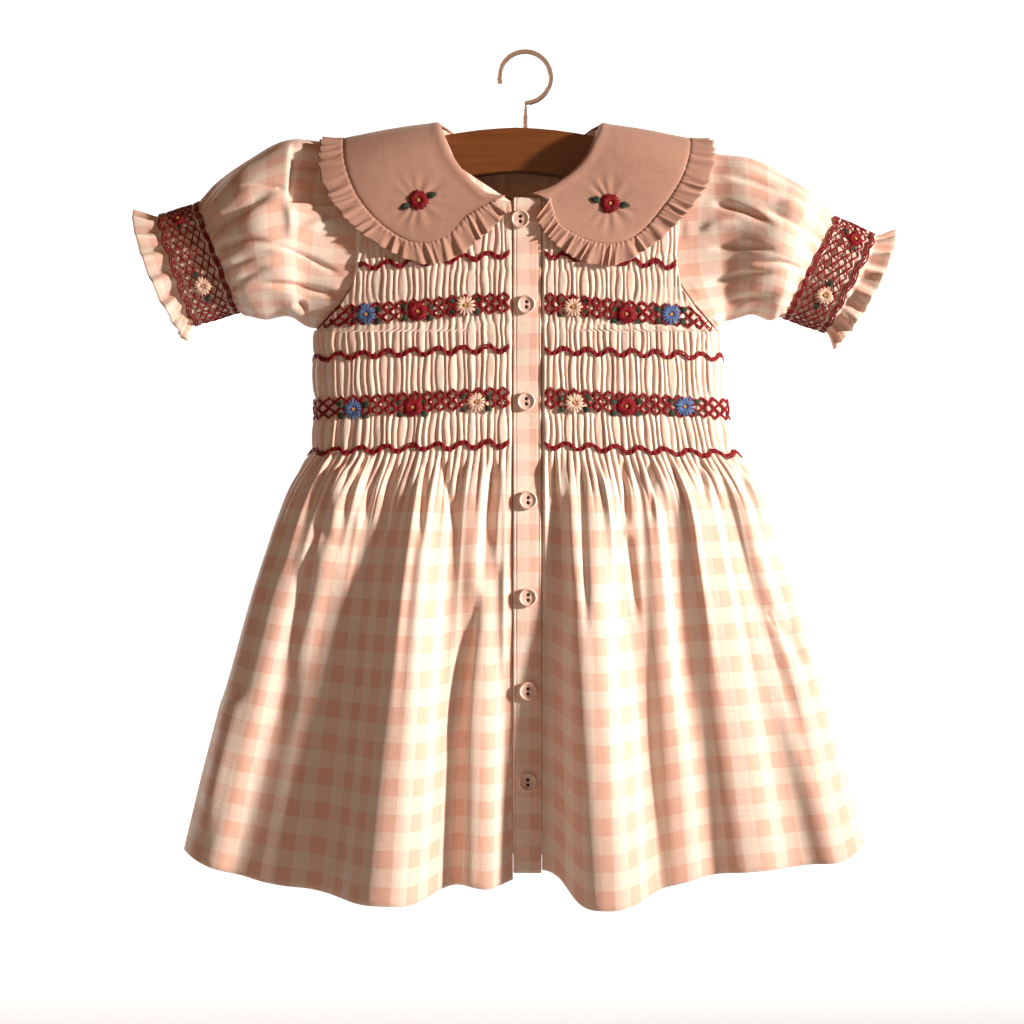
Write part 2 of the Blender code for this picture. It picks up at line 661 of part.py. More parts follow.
# A low star of petals: a rim that runs in and out, a raised centre and a flat centre below.
def make_flower(name, place, normal, colour, collection):
    angles = np.arange(2 * PETALS) * math.pi / PETALS
    radii = np.where(np.arange(2 * PETALS) % 2 == 0, FLOWER_RADIUS, FLOWER_RADIUS * 0.72)
    bloom = bmesh.new()
    rim = [bloom.verts.new((r * math.cos(a) * MM, r * math.sin(a) * MM, 0.4 * MM))
           for r, a in zip(radii, angles)]
    top = bloom.verts.new((0, 0, FLOWER_HEIGHT * MM))
    foot = bloom.verts.new((0, 0, 0))
    for index, vert in enumerate(rim):
        following = rim[(index + 1) % len(rim)]
        bloom.faces.new((vert, following, top))
        bloom.faces.new((following, vert, foot))
    mesh = bpy.data.meshes.new(name)
    bloom.to_mesh(mesh)
    bloom.free()
    material = make_material("thread_" + colour, FLOWER_COLOURS[colour], 0.6)
    flower = add_object(name, mesh, material, collection)
    flower.location = Vector(place) * MM
    flower.rotation_euler = facing(normal)


def make_label(material, collection):
    drops = np.linspace(LABEL_TOP, LABEL_BOTTOM, 4)
    xs = np.linspace(LABEL_X - LABEL_WIDTH / 2, LABEL_X + LABEL_WIDTH / 2, 3)
    xs_grid, drop_grid = np.meshgrid(xs, drops)
    depth = body_depth(xs_grid, drop_grid, 1) - 0.45
    outer = as_points(xs_grid, depth, drop_grid)
    inner = as_points(xs_grid, depth - LABEL_THICK, drop_grid)
    make_wall("neck_label", inner, outer, material, collection)


def make_bar(material, collection):
    reach = [row[0] for row in BAR_PROFILE]
    steps = np.concatenate([np.linspace(0, 92, 9), [95.5, 97.0]])
    top = smooth(steps, reach, column(BAR_PROFILE, 1))
    bottom = smooth(steps, reach, column(BAR_PROFILE, 2))
    loop = [(BAR_CENTRE + s, -t) for s, t in zip(steps, top)]
    loop += [(BAR_CENTRE + s, -b) for s, b in zip(steps[::-1], bottom[::-1])]
    loop += [(BAR_CENTRE - s, -b) for s, b in zip(steps[1:], bottom[1:])]
    loop += [(BAR_CENTRE - s, -t) for s, t in zip(steps[:0:-1], top[:0:-1])]
    shape = bpy.data.curves.new("hanger_bar_outline", "CURVE")
    shape.dimensions = "2D"
    shape.fill_mode = "BOTH"
    shape.extrude = BAR_THICK / 2 * MM
    line = shape.splines.new("POLY")
    line.points.add(len(loop) - 1)
    for point, (x, z) in zip(line.points, loop):
        point.co = (x * MM, z * MM, 0.0, 1.0)
    line.use_cyclic_u = True
    guide = bpy.data.objects.new("hanger_bar_guide", shape)
    guide.rotation_euler = (math.radians(90), 0, 0)
    collection.objects.link(guide)
    bpy.context.view_layer.update()
    evaluated = guide.evaluated_get(bpy.context.evaluated_depsgraph_get())
    mesh = bpy.data.meshes.new_from_object(evaluated)
    solid = bmesh.new()
    solid.from_mesh(mesh)
    bmesh.ops.remove_doubles(solid, verts=solid.verts, dist=0.00001)
    solid.to_mesh(mesh)
    solid.free()
    mesh.name = "hanger_bar"
    mesh.materials.clear()
    bar = add_object("hanger_bar", mesh, material, collection)
    bar.matrix_world = guide.matrix_world.copy()
    bpy.data.objects.remove(guide)
    bevel = bar.modifiers.new("Rounded edges", "BEVEL")
    bevel.width = 1.5 * MM
    bevel.segments = 1
    bevel.limit_method = "ANGLE"
    bevel.angle_limit = math.radians(50)


# Round hook: a straight shank, then the wire runs round from below by +X over the top to its tip.
def make_hook(material, collection):
    ring = HOOK_INNER_RADIUS + HOOK_WIRE_RADIUS
    middle = -HOOK_INNER_RADIUS
    shank_foot = -(BAR_PROFILE[0][1] - 0.3)
    angles = np.radians(np.linspace(-90, HOOK_TIP_ANGLE, 22))
    path = [(0.0, shank_foot), (0.0, (shank_foot + middle - ring) / 2)]
    path += [(ring * math.cos(a), middle + ring * math.sin(a)) for a in angles]
    curve = bpy.data.curves.new("hanger_hook", "CURVE")
    curve.dimensions = "3D"
    curve.bevel_depth = HOOK_WIRE_RADIUS * MM
    curve.bevel_resolution = 1
    curve.use_fill_caps = True
    wire = curve.splines.new("POLY")
    wire.points.add(len(path) - 1)
    for point, (x, z) in zip(wire.points, path):
        point.co = (x * MM, 0.0, z * MM, 1.0)
    curve.materials.append(material)
    hook = bpy.data.objects.new("hanger_hook", curve)
    collection.objects.link(hook)


def build():
    clear_scene()
    collection = bpy.data.collections.new("smocked_dress_on_hanger")
    cutters = bpy.data.collections.new("cutters")
    bpy.context.scene.collection.children.link(collection)
    bpy.context.scene.collection.children.link(cutters)
    gingham = make_material("gingham_cotton", (0.75, 0.52, 0.43), 0.85)
    plain = make_material("plain_pink_cotton", (0.62, 0.36, 0.27), 0.85)
    tape = make_material("label_tape", (0.78, 0.72, 0.62), 0.8)
    pearl = make_material("button_pearl", (0.80, 0.66, 0.60), 0.35)
    wood = make_material("waxed_wood", (0.42, 0.19, 0.07), 0.45)
    steel = make_material("plated_steel", (0.62, 0.60, 0.57), 0.3, 1.0)

    left_outer = make_front("front_left", False, gingham, collection)
    right_outer = make_front("front_right", True, gingham, collection)
    make_back(gingham, collection)
    placket_outer = make_placket(gingham, collection)
    leaf_left = make_collar("left", COLLAR_LEFT, plain, plain, collection)
    leaf_right = make_collar("right", COLLAR_RIGHT, plain, plain, collection)
    make_sleeve("sleeve_left", SLEEVE_LEFT, False, gingham, collection)
    make_sleeve("sleeve_right", SLEEVE_RIGHT, True, gingham, collection)
    for number, (x, drop) in enumerate(BUTTONS, start=1):
        place, normal = seat_on(placket_outer, x, drop, BUTTON_RADIUS * 1.6, 0.4)
        make_button(number, place, normal, pearl, collection, cutters)
    for name, x, drop in BODICE_FLOWERS:
        grid = right_outer if x > 0 else left_outer
        place, normal = seat_on(grid, x, drop, FLOWER_RADIUS, 0.1)
        make_flower("flower_" + name, place, normal, name.split("_")[0], collection)
    for name, x, drop in COLLAR_FLOWERS:
        grid = leaf_right if x > 0 else leaf_left
        place, normal = seat_on(grid, x, drop, FLOWER_RADIUS * 1.4, 0.1)
        make_flower("flower_" + name, place, normal, name.split("_")[0], collection)
    make_label(tape, collection)
    make_bar(wood, collection)
    make_hook(steel, collection)


build()
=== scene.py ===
# Child's smocked gingham dress on a wooden hanger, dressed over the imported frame
import bpy
import math
import numpy as np
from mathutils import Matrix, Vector


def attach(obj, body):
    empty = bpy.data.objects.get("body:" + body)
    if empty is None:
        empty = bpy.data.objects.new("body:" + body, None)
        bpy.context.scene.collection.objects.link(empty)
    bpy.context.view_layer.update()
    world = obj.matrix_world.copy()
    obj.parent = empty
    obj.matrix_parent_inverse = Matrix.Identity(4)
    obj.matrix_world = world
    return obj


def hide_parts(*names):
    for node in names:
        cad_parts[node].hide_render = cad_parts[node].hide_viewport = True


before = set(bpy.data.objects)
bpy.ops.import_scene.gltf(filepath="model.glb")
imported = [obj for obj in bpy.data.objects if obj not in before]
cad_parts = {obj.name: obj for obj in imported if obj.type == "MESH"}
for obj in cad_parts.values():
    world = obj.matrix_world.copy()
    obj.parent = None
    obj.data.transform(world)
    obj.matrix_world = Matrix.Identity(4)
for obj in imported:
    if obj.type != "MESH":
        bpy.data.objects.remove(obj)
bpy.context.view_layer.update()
mm = 0.001

# the photograph's view: where its middle falls on the dress, in millimetres, and how much it takes in
view = {
    "middleX": -7.8,
    "middleDrop": 274.8,
    "distance": 1400.0,
    "width": 614.4,
}

# the body's inner face: drop below the hook, left edge, right edge, depth in front, depth behind
body = {
    "outline": [
        (40, -125.0, 115.5, 20.0, 18.0), (100, -125.0, 115.5, 21.0, 18.0), (168, -124.4, 115.2, 22.0, 18.0),
        (203, -123.6, 117.2, 22.0, 18.0), (224, -123.8, 120.4, 22.0, 18.0), (239, -125.6, 124.4, 23.0, 18.0),
        (263, -139.5, 140.5, 25.0, 18.5), (307, -156.5, 154.5, 27.0, 19.0), (370, -174.5, 173.0, 29.0, 20.0),
        (432, -191.5, 190.0, 31.0, 21.0), (480, -203.0, 201.5, 32.0, 22.0),
    ],
    "shoulder": [(0, 44.0), (40, 44.4), (47, 45.0), (72, 49.3), (96, 55.0), (104, 56.8), (125, 57.5)],
    "armhole": [(57.0, -108.0), (66, -106.0), (84, -103.0), (122, -99.5), (141, -102.0), (154, -111.0),
                (168, -124.2)],
    "neckFront": [(57.0, -50.0), (66.0, -46.0), (76.0, -39.0), (84.0, -31.0), (88.5, -20.0), (91.5, -7.55)],
    "neckBack": [(0, 60.5), (15, 60.0), (27, 57.0), (35.5, 51.0), (42.5, 46.6), (47, 45.0)],
    "hemFront": [(-203, 476), (-190, 482), (-160, 490), (-125, 496), (-108, 499), (-82, 500.5), (-62, 500),
                 (-50, 495), (-38, 492), (-22, 494), (-8, 490), (8, 484), (20, 488), (31, 500), (46, 503),
                 (62, 501), (84, 493), (105, 488), (168, 482), (190, 479), (201.5, 473)],
    "hemBack": [(-203, 476), (-120, 485), (-40, 480), (40, 487), (120, 480), (201.5, 473)],
    "foldsFront": [(-124, -190, 7.0, 11.0, 15.0), (-100, -146, 7.0, 16.0, 14.0), (-60, -82, 32.0, 25.0, 25.0),
                   (-28, -27, 11.0, 12.0, 13.0), (30, 48, 33.0, 23.0, 24.0), (74, 92, 8.0, 12.0, 12.0),
                   (96, 134, 9.0, 16.0, 18.0), (118, 186, 8.0, 14.0, 12.0)],
    "foldsBack": [(-112, -172, 6.0, 14.0, 14.0), (-70, -104, 11.0, 22.0, 18.0), (-30, -38, 7.0, 13.0, 15.0),
                  (6, 20, 12.0, 20.0, 22.0), (52, 76, 6.0, 13.0, 13.0), (88, 128, 10.0, 18.0, 20.0),
                  (118, 180, 5.0, 12.0, 12.0)],
    "centre": -5.0,
    "neckCentre": -3.0,
    "shoulderRadius": 20.0,
    "top": 57.0,                  # nominal drop of a panel's first row, which then follows shoulder and neck
    "waist": 239.0,
    "hem": 480.0,
    "wall": 1.2,
    "placketLeft": -7.2,
    "placketRight": 9.6,
    "seam": 0.35,
}


# cubic curve through a table's rows, its slope at each row the mean of the two beside it
def smoothCurve(at, stations, values):
    at = np.asarray(at, dtype=float)
    stations = np.asarray(stations, dtype=float)
    values = np.asarray(values, dtype=float)
    slopes = np.gradient(values, stations, axis=0)
    index = np.clip(np.searchsorted(stations, at, side="right") - 1, 0, len(stations) - 2)
    span = stations[index + 1] - stations[index]
    t = np.clip((at - stations[index]) / span, 0.0, 1.0)
    extra = (1,) * (values.ndim - 1)
    t = t.reshape(t.shape + extra)
    span = span.reshape(span.shape + extra)
    rest = 1.0 - t
    return ((1 + 2 * t) * rest ** 2 * values[index] + t * rest ** 2 * span * slopes[index]
            + t ** 2 * (3 - 2 * t) * values[index + 1] - t ** 2 * rest * span * slopes[index + 1])


# one column of a table
def column(table, index):
    return [row[index] for row in table]


# 0 to 1 with level ends: t^2 (3 - 2 t)
def easeIn(t):
    t = np.clip(t, 0.0, 1.0)
    return t * t * (3 - 2 * t)


# drop of the shoulder's top at x, the same on both sides of the centre
def shoulderDrop(x):
    return smoothCurve(np.abs(np.asarray(x) - body["centre"]), column(body["shoulder"], 0),
                       column(body["shoulder"], 1))


# a column of the body's outline at any drop
def outlineAt(drop, index):
    return smoothCurve(drop, column(body["outline"], 0), column(body["outline"], index))


# width profile (1 - |t|^3)^(1/3): 1 in the middle, 0 at the side seams
def sideProfile(x, left, right):
    t = np.clip(np.abs((x - (left + right) / 2) / ((right - left) / 2)), 0.0, 1.0)
    return (1.0 - t ** 3) ** (1 / 3)


# sum of ridges exp(-|dx / width|^3) that grow from the waist to the hem
def foldHeight(x, down, folds):
    down = np.clip(down, 0.0, 1.1)
    total = np.zeros(np.broadcast(x, down).shape)
    for waistX, hemX, height, leftWidth, rightWidth in folds:
        middle = waistX + (hemX - waistX) * down
        width = np.where(x < middle, leftWidth, rightWidth) * (0.45 + 0.55 * np.minimum(down, 1.0))
        total = total + height * np.minimum(down, 1.0) ** 0.9 * np.exp(-np.abs((x - middle) / width) ** 3)
    return total


# y of the body's inner face; side is -1 in front and 1 behind
def bodyDepth(x, drop, side):
    x = np.asarray(x, dtype=float)
    drop = np.asarray(drop, dtype=float)
    left = outlineAt(drop, 1)
    right = outlineAt(drop, 2)
    depth = outlineAt(drop, 3 if side < 0 else 4)
    down = (drop - body["waist"]) / (body["hem"] - body["waist"])
    folds = body["foldsFront"] if side < 0 else body["foldsBack"]
    profile = sideProfile(x, left, right)
    below = np.clip(1.0 - (drop - shoulderDrop(x)) / body["shoulderRadius"], 0.0, 1.0)
    bend = np.sqrt(1.0 - below ** 2)
    fade = np.clip(profile * 1.6, 0.0, 1.0)
    return side * (depth * bend * profile + foldHeight(x, down, folds) * fade)


# x of the armhole's edge, mirrored about the centre for the right side
def armholeX(drop, rightSide):
    x = np.interp(drop, column(body["armhole"], 0), column(body["armhole"], 1))
    return 2 * body["centre"] - x if rightSide else x


# x where a panel ends: the armhole's edge, and under it the side seam
def sideLimit(drop, rightSide):
    seam = outlineAt(drop, 2 if rightSide else 1)
    return np.where(np.asarray(drop) < body["armhole"][-1][0], armholeX(drop, rightSide), seam)


# points with z = -drop
def asPoints(x, y, drop):
    return np.stack(np.broadcast_arrays(x, y, -np.asarray(drop, dtype=float)), axis=-1)


# vectors over their lengths
def unit(vectors):
    return vectors / np.maximum(np.linalg.norm(vectors, axis=-1, keepdims=True), 1e-9)


# normals of a grid, turned to the side where away points
def gridNormals(grid, away, closed=False):
    if closed:
        along = np.roll(grid, -1, axis=1) - np.roll(grid, 1, axis=1)
    else:
        along = np.gradient(grid, axis=1)
    normal = unit(np.cross(along, np.gradient(grid, axis=0)))
    return normal * np.sign(np.sum(normal * away))


# mesh object from points in millimetres, the corners' point numbers face by face, and each corner's uv
def meshObject(name, points, loops, sizes, uv, material):
    mesh = bpy.data.meshes.new(name)
    mesh.vertices.add(len(points))
    mesh.vertices.foreach_set("co", (points * mm).ravel())
    mesh.loops.add(len(loops))
    mesh.loops.foreach_set("vertex_index", loops.astype(np.int32))
    mesh.polygons.add(len(sizes))
    starts = np.concatenate([[0], np.cumsum(sizes)[:-1]])
    mesh.polygons.foreach_set("loop_start", starts.astype(np.int32))
    mesh.polygons.foreach_set("loop_total", sizes.astype(np.int32))
    mesh.update(calc_edges=True)
    mesh.uv_layers.new(name="cloth").data.foreach_set("uv", uv.ravel())
    mesh.validate()
    mesh.shade_smooth()
    mesh.materials.append(material)
    obj = bpy.data.objects.new(name, mesh)
    bpy.context.scene.collection.objects.link(obj)
    return obj


# point numbers of a grid's quads, each row to the next; the last column meets the first where it is closed
def gridQuads(rows, steps, cols, around):
    r, c = np.meshgrid(np.arange(rows), np.arange(steps), indexing="ij")
    nextR, nextC = (r + 1) % around, (c + 1) % cols
    quads = np.stack([r * cols + c, r * cols + nextC, nextR * cols + nextC, nextR * cols + c], axis=-1)
    return quads, np.repeat(((c + 1) % cols == 0).ravel(), 4)


# whether the quads, as listed, face against away
def facesBack(points, quads, away, shape):
    corners = points.reshape(-1, 3)[quads]
    normal = np.cross(corners[:, 1] - corners[:, 0], corners[:, 3] - corners[:, 0])
    return np.sum(normal * np.broadcast_to(away, shape).reshape(-1, 3)[quads[:, 0]]) < 0


# mesh object from a grid of points, with a uv map in millimetres of cloth; faces turn to away
def sheetObject(name, grid, uv, material, away, closed=False):
    rows, cols = grid.shape[:2]
    quads, atWrap = gridQuads(rows - 1, cols if closed else cols - 1, cols, rows)
    quads = quads.reshape(-1, 4)
    if facesBack(grid, quads, away, grid.shape):
        quads = quads[:, ::-1]
    values = np.asarray(uv, dtype=float).reshape(-1, 2)[quads.ravel()]
    if closed:
        wrap = (quads.ravel() % cols == 0) & atWrap
        values[wrap, 0] += np.asarray(uv)[0, -1, 0] + np.asarray(uv)[0, 1, 0]
    return meshObject(name, grid.reshape(-1, 3), quads.ravel(), np.full(len(quads), 4), values, material)


# closed shell from a sheet: the outer grid, a round lower edge, a sparser inner layer at
# outer - normal * wall, a round upper edge, and side walls; it is thicker over the turned hem
def shellObject(name, sheet, material, away, wall=1.0, turn=0.0, every=5, closed=False):
    grid, uv, normals = sheet[:3]
    rows, cols = grid.shape[:2]
    kept = np.unique(np.append(np.arange(0, rows, every), rows - 1))[::-1]
    below = grid[-1:, :, 2].mean() - grid[kept].mean(axis=1)[:, 2]
    thick = wall + 0.7 * (np.abs(below) < turn) * (kept < rows - 1) if turn else np.full(len(kept), wall)
    lower = grid[-1] - normals[-1] * wall / 2 + unit(grid[-1] - grid[-3]) * wall * 0.45
    upper = grid[0] - normals[0] * wall / 2 + unit(grid[0] - grid[2]) * wall * 0.3
    inner = grid[kept] - normals[kept] * thick[:, None, None]
    points = np.concatenate([grid, lower[None], inner, upper[None]])
    uvs = np.concatenate([uv, uv[-1:] + 0.4, uv[kept], uv[:1] - 0.4])
    total = len(points)
    quads, atWrap = gridQuads(total, cols if closed else cols - 1, cols, total)
    flip = facesBack(points, quads[:rows - 1].reshape(-1, 4), away, grid.shape)
    polygons = []
    for side in () if closed else (0, cols - 1):
        ends = [[rows - 1, rows, rows + 1], [rows + len(kept), rows + len(kept) + 1, 0]]
        spans = [list(range(kept[j + 1], kept[j] + 1)) + [rows + 1 + j, rows + 2 + j]
                 for j in range(len(kept) - 1)]
        for polygon in spans + ends:
            loop = [row * cols + side for row in polygon]
            polygons.append(loop if (side == 0) != flip else loop[::-1])
    quads = quads.reshape(-1, 4)
    if flip:
        quads = quads[:, ::-1]
    loops = np.concatenate([quads.ravel()] + [np.array(polygon) for polygon in polygons])
    sizes = np.concatenate([np.full(len(quads), 4), [len(polygon) for polygon in polygons]])
    values = uvs.reshape(-1, 2)[loops]
    if closed:
        wrap = (loops[:quads.size] % cols == 0) & atWrap
        values[:quads.size][wrap, 0] += uv[0, -1, 0] + uv[0, 1, 0] - 2 * uv[0, 0, 0]
    obj = meshObject(name, points.reshape(-1, 3), loops, sizes, values, material)
    # the second layer is a mask of painted shade for the valleys between pleats
    for layerName, place in (("smocked", 4), ("valleyShade", 5)):
        share = np.zeros((total, cols), dtype=np.float32)
        if len(sheet) > place:
            share[:rows] = sheet[place]
        obj.data.attributes.new(layerName, "FLOAT", "POINT").data.foreach_set("value", share.ravel())
    return obj


# one node of a material: its type, its settings, and its inputs by name or, as i0, i1, by number
def addNode(tree, kind, settings=None, **inputs):
    node = tree.nodes.new(kind)
    for key, value in (settings or {}).items():
        setattr(node, key, value)
    for key, value in inputs.items():
        socket = node.inputs[int(key[1:]) if key[1:].isdigit() else key]
        if isinstance(value, bpy.types.NodeSocket):
            tree.links.new(value, socket)
        else:
            socket.default_value = value
    return node


# one sum of a material
def mathNode(tree, operation, first, second=0.0, third=0.0):
    return addNode(tree, "ShaderNodeMath", {"operation": operation}, i0=first, i1=second, i2=third).outputs[0]


# first + (second - first) * factor
def mixColour(tree, factor, first, second, blend="MIX"):
    node = addNode(tree, "ShaderNodeMix", {"data_type": "RGBA", "blend_type": blend},
                   i0=factor, i6=first, i7=second)
    return node.outputs[2]


# an empty material and its node tree
def newMaterial(name):
    material = bpy.data.materials.new(name)
    material.use_nodes = True
    return material, material.node_tree


# the place on the object, in metres
def objectPlace(tree):
    return addNode(tree, "ShaderNodeTexCoord").outputs["Object"]


# noise at a place
def noiseAt(tree, place, scale, detail, **inputs):
    return addNode(tree, "ShaderNodeTexNoise", i0=place, Scale=scale, Detail=detail, **inputs).outputs[0]


# colour and bump joined to the shader, bump as (strength, distance, height), and its other inputs set
def finishMaterial(material, base, bump, settings):
    tree = material.node_tree
    shader = tree.nodes["Principled BSDF"]
    tree.links.new(base, shader.inputs["Base Color"])
    if bump:
        strength, distance, height = bump
        node = addNode(tree, "ShaderNodeBump", Strength=strength, Distance=distance, Height=height)
        tree.links.new(node.outputs[0], shader.inputs["Normal"])
    for key, value in settings.items():
        shader.inputs[key].default_value = value
    return material


# two noises drawn out along the cloth's two threads, added: the yarns' thick and thin places
def yarnSlubs(tree, uv, along, across):
    yarns = []
    for stretch in ((along, across, 1.0), (across, along, 1.0)):
        stretched = addNode(tree, "ShaderNodeMapping", i0=uv, i3=stretch).outputs[0]
        yarns.append(noiseAt(tree, stretched, 1.0, 2.0))
    return mathNode(tree, "ADD", yarns[0], yarns[1])


# height of a plain weave: the higher of |sin| across and |sin| along
def weaveHeight(tree, axes, threadsPerMm):
    weave = []
    for axis in (0, 1):
        thread = mathNode(tree, "MULTIPLY", axes.outputs[axis], threadsPerMm * math.pi)
        weave.append(mathNode(tree, "ABSOLUTE", mathNode(tree, "SINE", thread)))
    return mathNode(tree, "MAXIMUM", weave[0], weave[1])


gingham = {
    "square": 9.4,                       # mm, one square; the repeat is two
    "cream": (0.83, 0.73, 0.62),
    "pale": (0.82, 0.625, 0.525),
    "strong": (0.78, 0.495, 0.385),
    "valleyShade": (0.62, 0.27, 0.18),        # painted shade between two pleats, where light is passed from cloth to cloth
    "valleyShare": 0.6,
    "smockedFade": 0.72,                 # how far the bands across fade in the smocking
    "edge": 7.0,                         # steepness of a band's edge
    "threadsPerMm": 2.6,
}


# woven check: a square wave across and down the cloth, soft over a thread's width, on the uv map in mm;
# where both bands cross the pink is full, where one runs it is pale; yarns show as bump and faint streaks
def ginghamMaterial():
    material, tree = newMaterial("ginghamCloth")
    uv = addNode(tree, "ShaderNodeUVMap", {"uv_map": "cloth"}).outputs[0]
    wander = noiseAt(tree, uv, 0.06, 1.0)
    axes = addNode(tree, "ShaderNodeSeparateXYZ", i0=uv)
    bands = []
    for axis in (0, 1):
        place = mathNode(tree, "MULTIPLY_ADD", wander, 0.8, axes.outputs[axis])
        wave = mathNode(tree, "SINE", mathNode(tree, "MULTIPLY", place, math.pi / gingham["square"]))
        steep = mathNode(tree, "MULTIPLY_ADD", wave, gingham["edge"], 0.5)
        bands.append(mathNode(tree, "SMOOTH_MIN", mathNode(tree, "SMOOTH_MAX", steep, 0.0, 0.05), 1.0, 0.05))
    smocked = addNode(tree, "ShaderNodeAttribute", {"attribute_name": "smocked"}).outputs["Fac"]
    valleyShade = addNode(tree, "ShaderNodeAttribute", {"attribute_name": "valleyShade"}).outputs["Fac"]
    bands[1] = mathNode(tree, "MULTIPLY", bands[1],
                        mathNode(tree, "MULTIPLY_ADD", smocked, -gingham["smockedFade"], 1.0))
    both = mathNode(tree, "MULTIPLY", bands[0], bands[1])
    either = mathNode(tree, "MAXIMUM", bands[0], bands[1])
    base = mixColour(tree, either, (*gingham["cream"], 1), (*gingham["pale"], 1))
    base = mixColour(tree, both, base, (*gingham["strong"], 1))
    slub = yarnSlubs(tree, uv, 0.05, 2.2)
    streak = mathNode(tree, "MULTIPLY_ADD", slub, 0.22, 0.78)
    streak = addNode(tree, "ShaderNodeCombineColor", i0=streak, i1=streak, i2=streak).outputs[0]
    base = mixColour(tree, 1.0, base, streak, "MULTIPLY")
    # painted shade: where the valley layer marks the gaps between pleats, the colour goes toward a dark
    # brown-pink
    base = mixColour(tree, mathNode(tree, "MULTIPLY", valleyShade, gingham["valleyShare"]), base,
                     (*gingham["valleyShade"], 1))
    height = mathNode(tree, "ADD", weaveHeight(tree, axes, gingham["threadsPerMm"]),
                      mathNode(tree, "MULTIPLY", slub, 1.4))
    crumple = noiseAt(tree, uv, 0.11, 3.0, Roughness=0.55)
    height = mathNode(tree, "MULTIPLY_ADD", crumple, 6.0, height)
    return finishMaterial(material, base, (0.35, 0.00025, height), {
        "Roughness": 0.88, "Sheen Weight": 0.15, "Sheen Roughness": 0.5, "Specular IOR Level": 0.25})


front = {
    "pleats": 34,
    "underarm": 169.0,            # above it the pleats run straight up and the armhole cuts them off
    "columnsPerPleat": 8,
    "pleatHeight": 1.55,
    "sewnRows": [122.5, 132.0, 150.0, 163.0, 181.5, 206.0, 217.0, 238.0],   # drops of the smocking rows
    "puff": 0.9,                  # mm that the cloth stands out between sewn rows
    "gatherCount": 22,
    "hemTurn": 18.0,
}

# creases: x and drop where each starts, x and drop where it ends, depth (a ridge is below 0), half width
creases = {
    "front": [
        (-59, 243, -62, 299, 2.2, 2.2), (-50, 242, -41, 288, 2.4, 2.6), (-18, 245, -28, 330, 4.2, 4.4),
        (-28, 318, -45, 424, 3.4, 5.0), (-107, 246, -114, 296, -3.0, 5.0), (-114, 288, -146, 395, -3.2, 7.0),
        (-98, 246, -101, 292, -2.2, 4.0), (-76, 246, -84, 300, 2.4, 3.4), (-90, 258, -96, 330, 1.6, 3.0),
        (32, 243, 36, 352, 2.6, 2.4), (57.5, 243, 60, 290, 2.6, 2.2), (60, 286, 66.5, 346, 2.2, 2.6),
        (73, 246, 76, 286, 2.0, 2.0), (102, 243, 108, 273, 2.2, 2.2), (125, 244, 132, 268, 2.0, 2.4),
        (-118, 300, -150, 540, 4.0, 20.0), (144, 330, 168, 372, 2.4, 3.4), (20, 262, 26, 352, 2.6, 4.0),
        (84, 262, 96, 420, 3.4, 6.5), (113, 250, 176, 452, 4.2, 7.0), (-172, 380, -190, 474, -3.0, 6.0),
        (-130, 300, -150, 420, 2.2, 7.0),
        (-12, 300, -14, 380, -1.8, 4.0), (46, 250, 50, 330, -2.2, 5.0), (150, 300, 186, 440, -2.6, 6.0),
    ],
    "back": [
        (-96, 243, -104, 310, 2.4, 2.4), (-62, 242, -56, 300, 2.2, 2.6), (-34, 245, -42, 350, 3.2, 4.4),
        (-10, 243, -8, 290, 2.4, 2.2), (18, 243, 26, 330, 2.6, 3.0), (40, 243, 44, 290, 2.2, 2.2),
        (66, 245, 84, 360, 3.4, 4.8), (92, 243, 96, 280, 2.2, 2.4), (-120, 260, -158, 420, 3.0, 6.5),
        (108, 260, 150, 430, 3.0, 6.5), (-20, 300, -24, 420, 2.4, 6.0), (48, 330, 58, 450, 2.6, 6.0),
    ],
}


# creases as soft troughs: exp(-(dx / width)^2) along a slanted line, easing in and out at its ends
def creaseDepth(x, drop, table):
    total = np.zeros(np.broadcast(x, drop).shape)
    for startX, startDrop, endX, endDrop, depth, width in table:
        t = (drop - startDrop) / (endDrop - startDrop)
        middle = startX + (endX - startX) * t
        ends = easeIn(t / 0.12) * easeIn((1.0 - t) / 0.4)
        total = total + depth * ends * np.exp(-((x - middle) / width) ** 2)
    return total


# drops of a body panel's rows, fine mm apart over the smocking and wider down the skirt
def panelDrops(fine):
    upper = np.linspace(body["top"], 92.0, 10, endpoint=False)
    smocked = np.linspace(92.0, 246.0, int(154 / fine), endpoint=False)
    gathered = np.linspace(246.0, 290.0, int(44 / (fine * 1.4)), endpoint=False)
    skirt = np.linspace(290.0, body["hem"], int(190 / (fine * 2.6)))
    return np.concatenate([upper, smocked, gathered, skirt])


# x of every grid point: each row is cut into even lengths of cloth, which the folds at the hem stretch
def panelColumns(drops, startX, endX, across, side):
    t = (1 - np.cos(np.linspace(0.0, math.pi, 300)))[None, :] / 2
    xs = startX[:, None] + (endX - startX)[:, None] * t
    drop = np.broadcast_to(drops[:, None], xs.shape)
    depth = outlineAt(drops, 3 if side < 0 else 4)[:, None]
    ys = depth * sideProfile(xs, outlineAt(drops, 1)[:, None], outlineAt(drops, 2)[:, None])
    length = np.cumsum(np.hypot(np.diff(xs, axis=1), np.diff(ys, axis=1)), axis=1)
    length = np.concatenate([np.zeros((len(drops), 1)), length], axis=1)
    length = length / length[:, -1:]
    folded = bodyDepth(xs[-1], drop[-1], side)
    hemLength = np.concatenate([[0.0], np.cumsum(np.hypot(np.diff(xs[-1]), np.diff(folded)))])
    hemShare = np.interp(across * hemLength[-1], hemLength, length[-1])
    down = easeIn((drops - body["waist"]) / (body["hem"] - body["waist"]))
    rows = [np.interp(across * (1 - d) + hemShare * d, l, x) for d, l, x in zip(down, length, xs)]
    return np.array(rows), hemLength[-1]


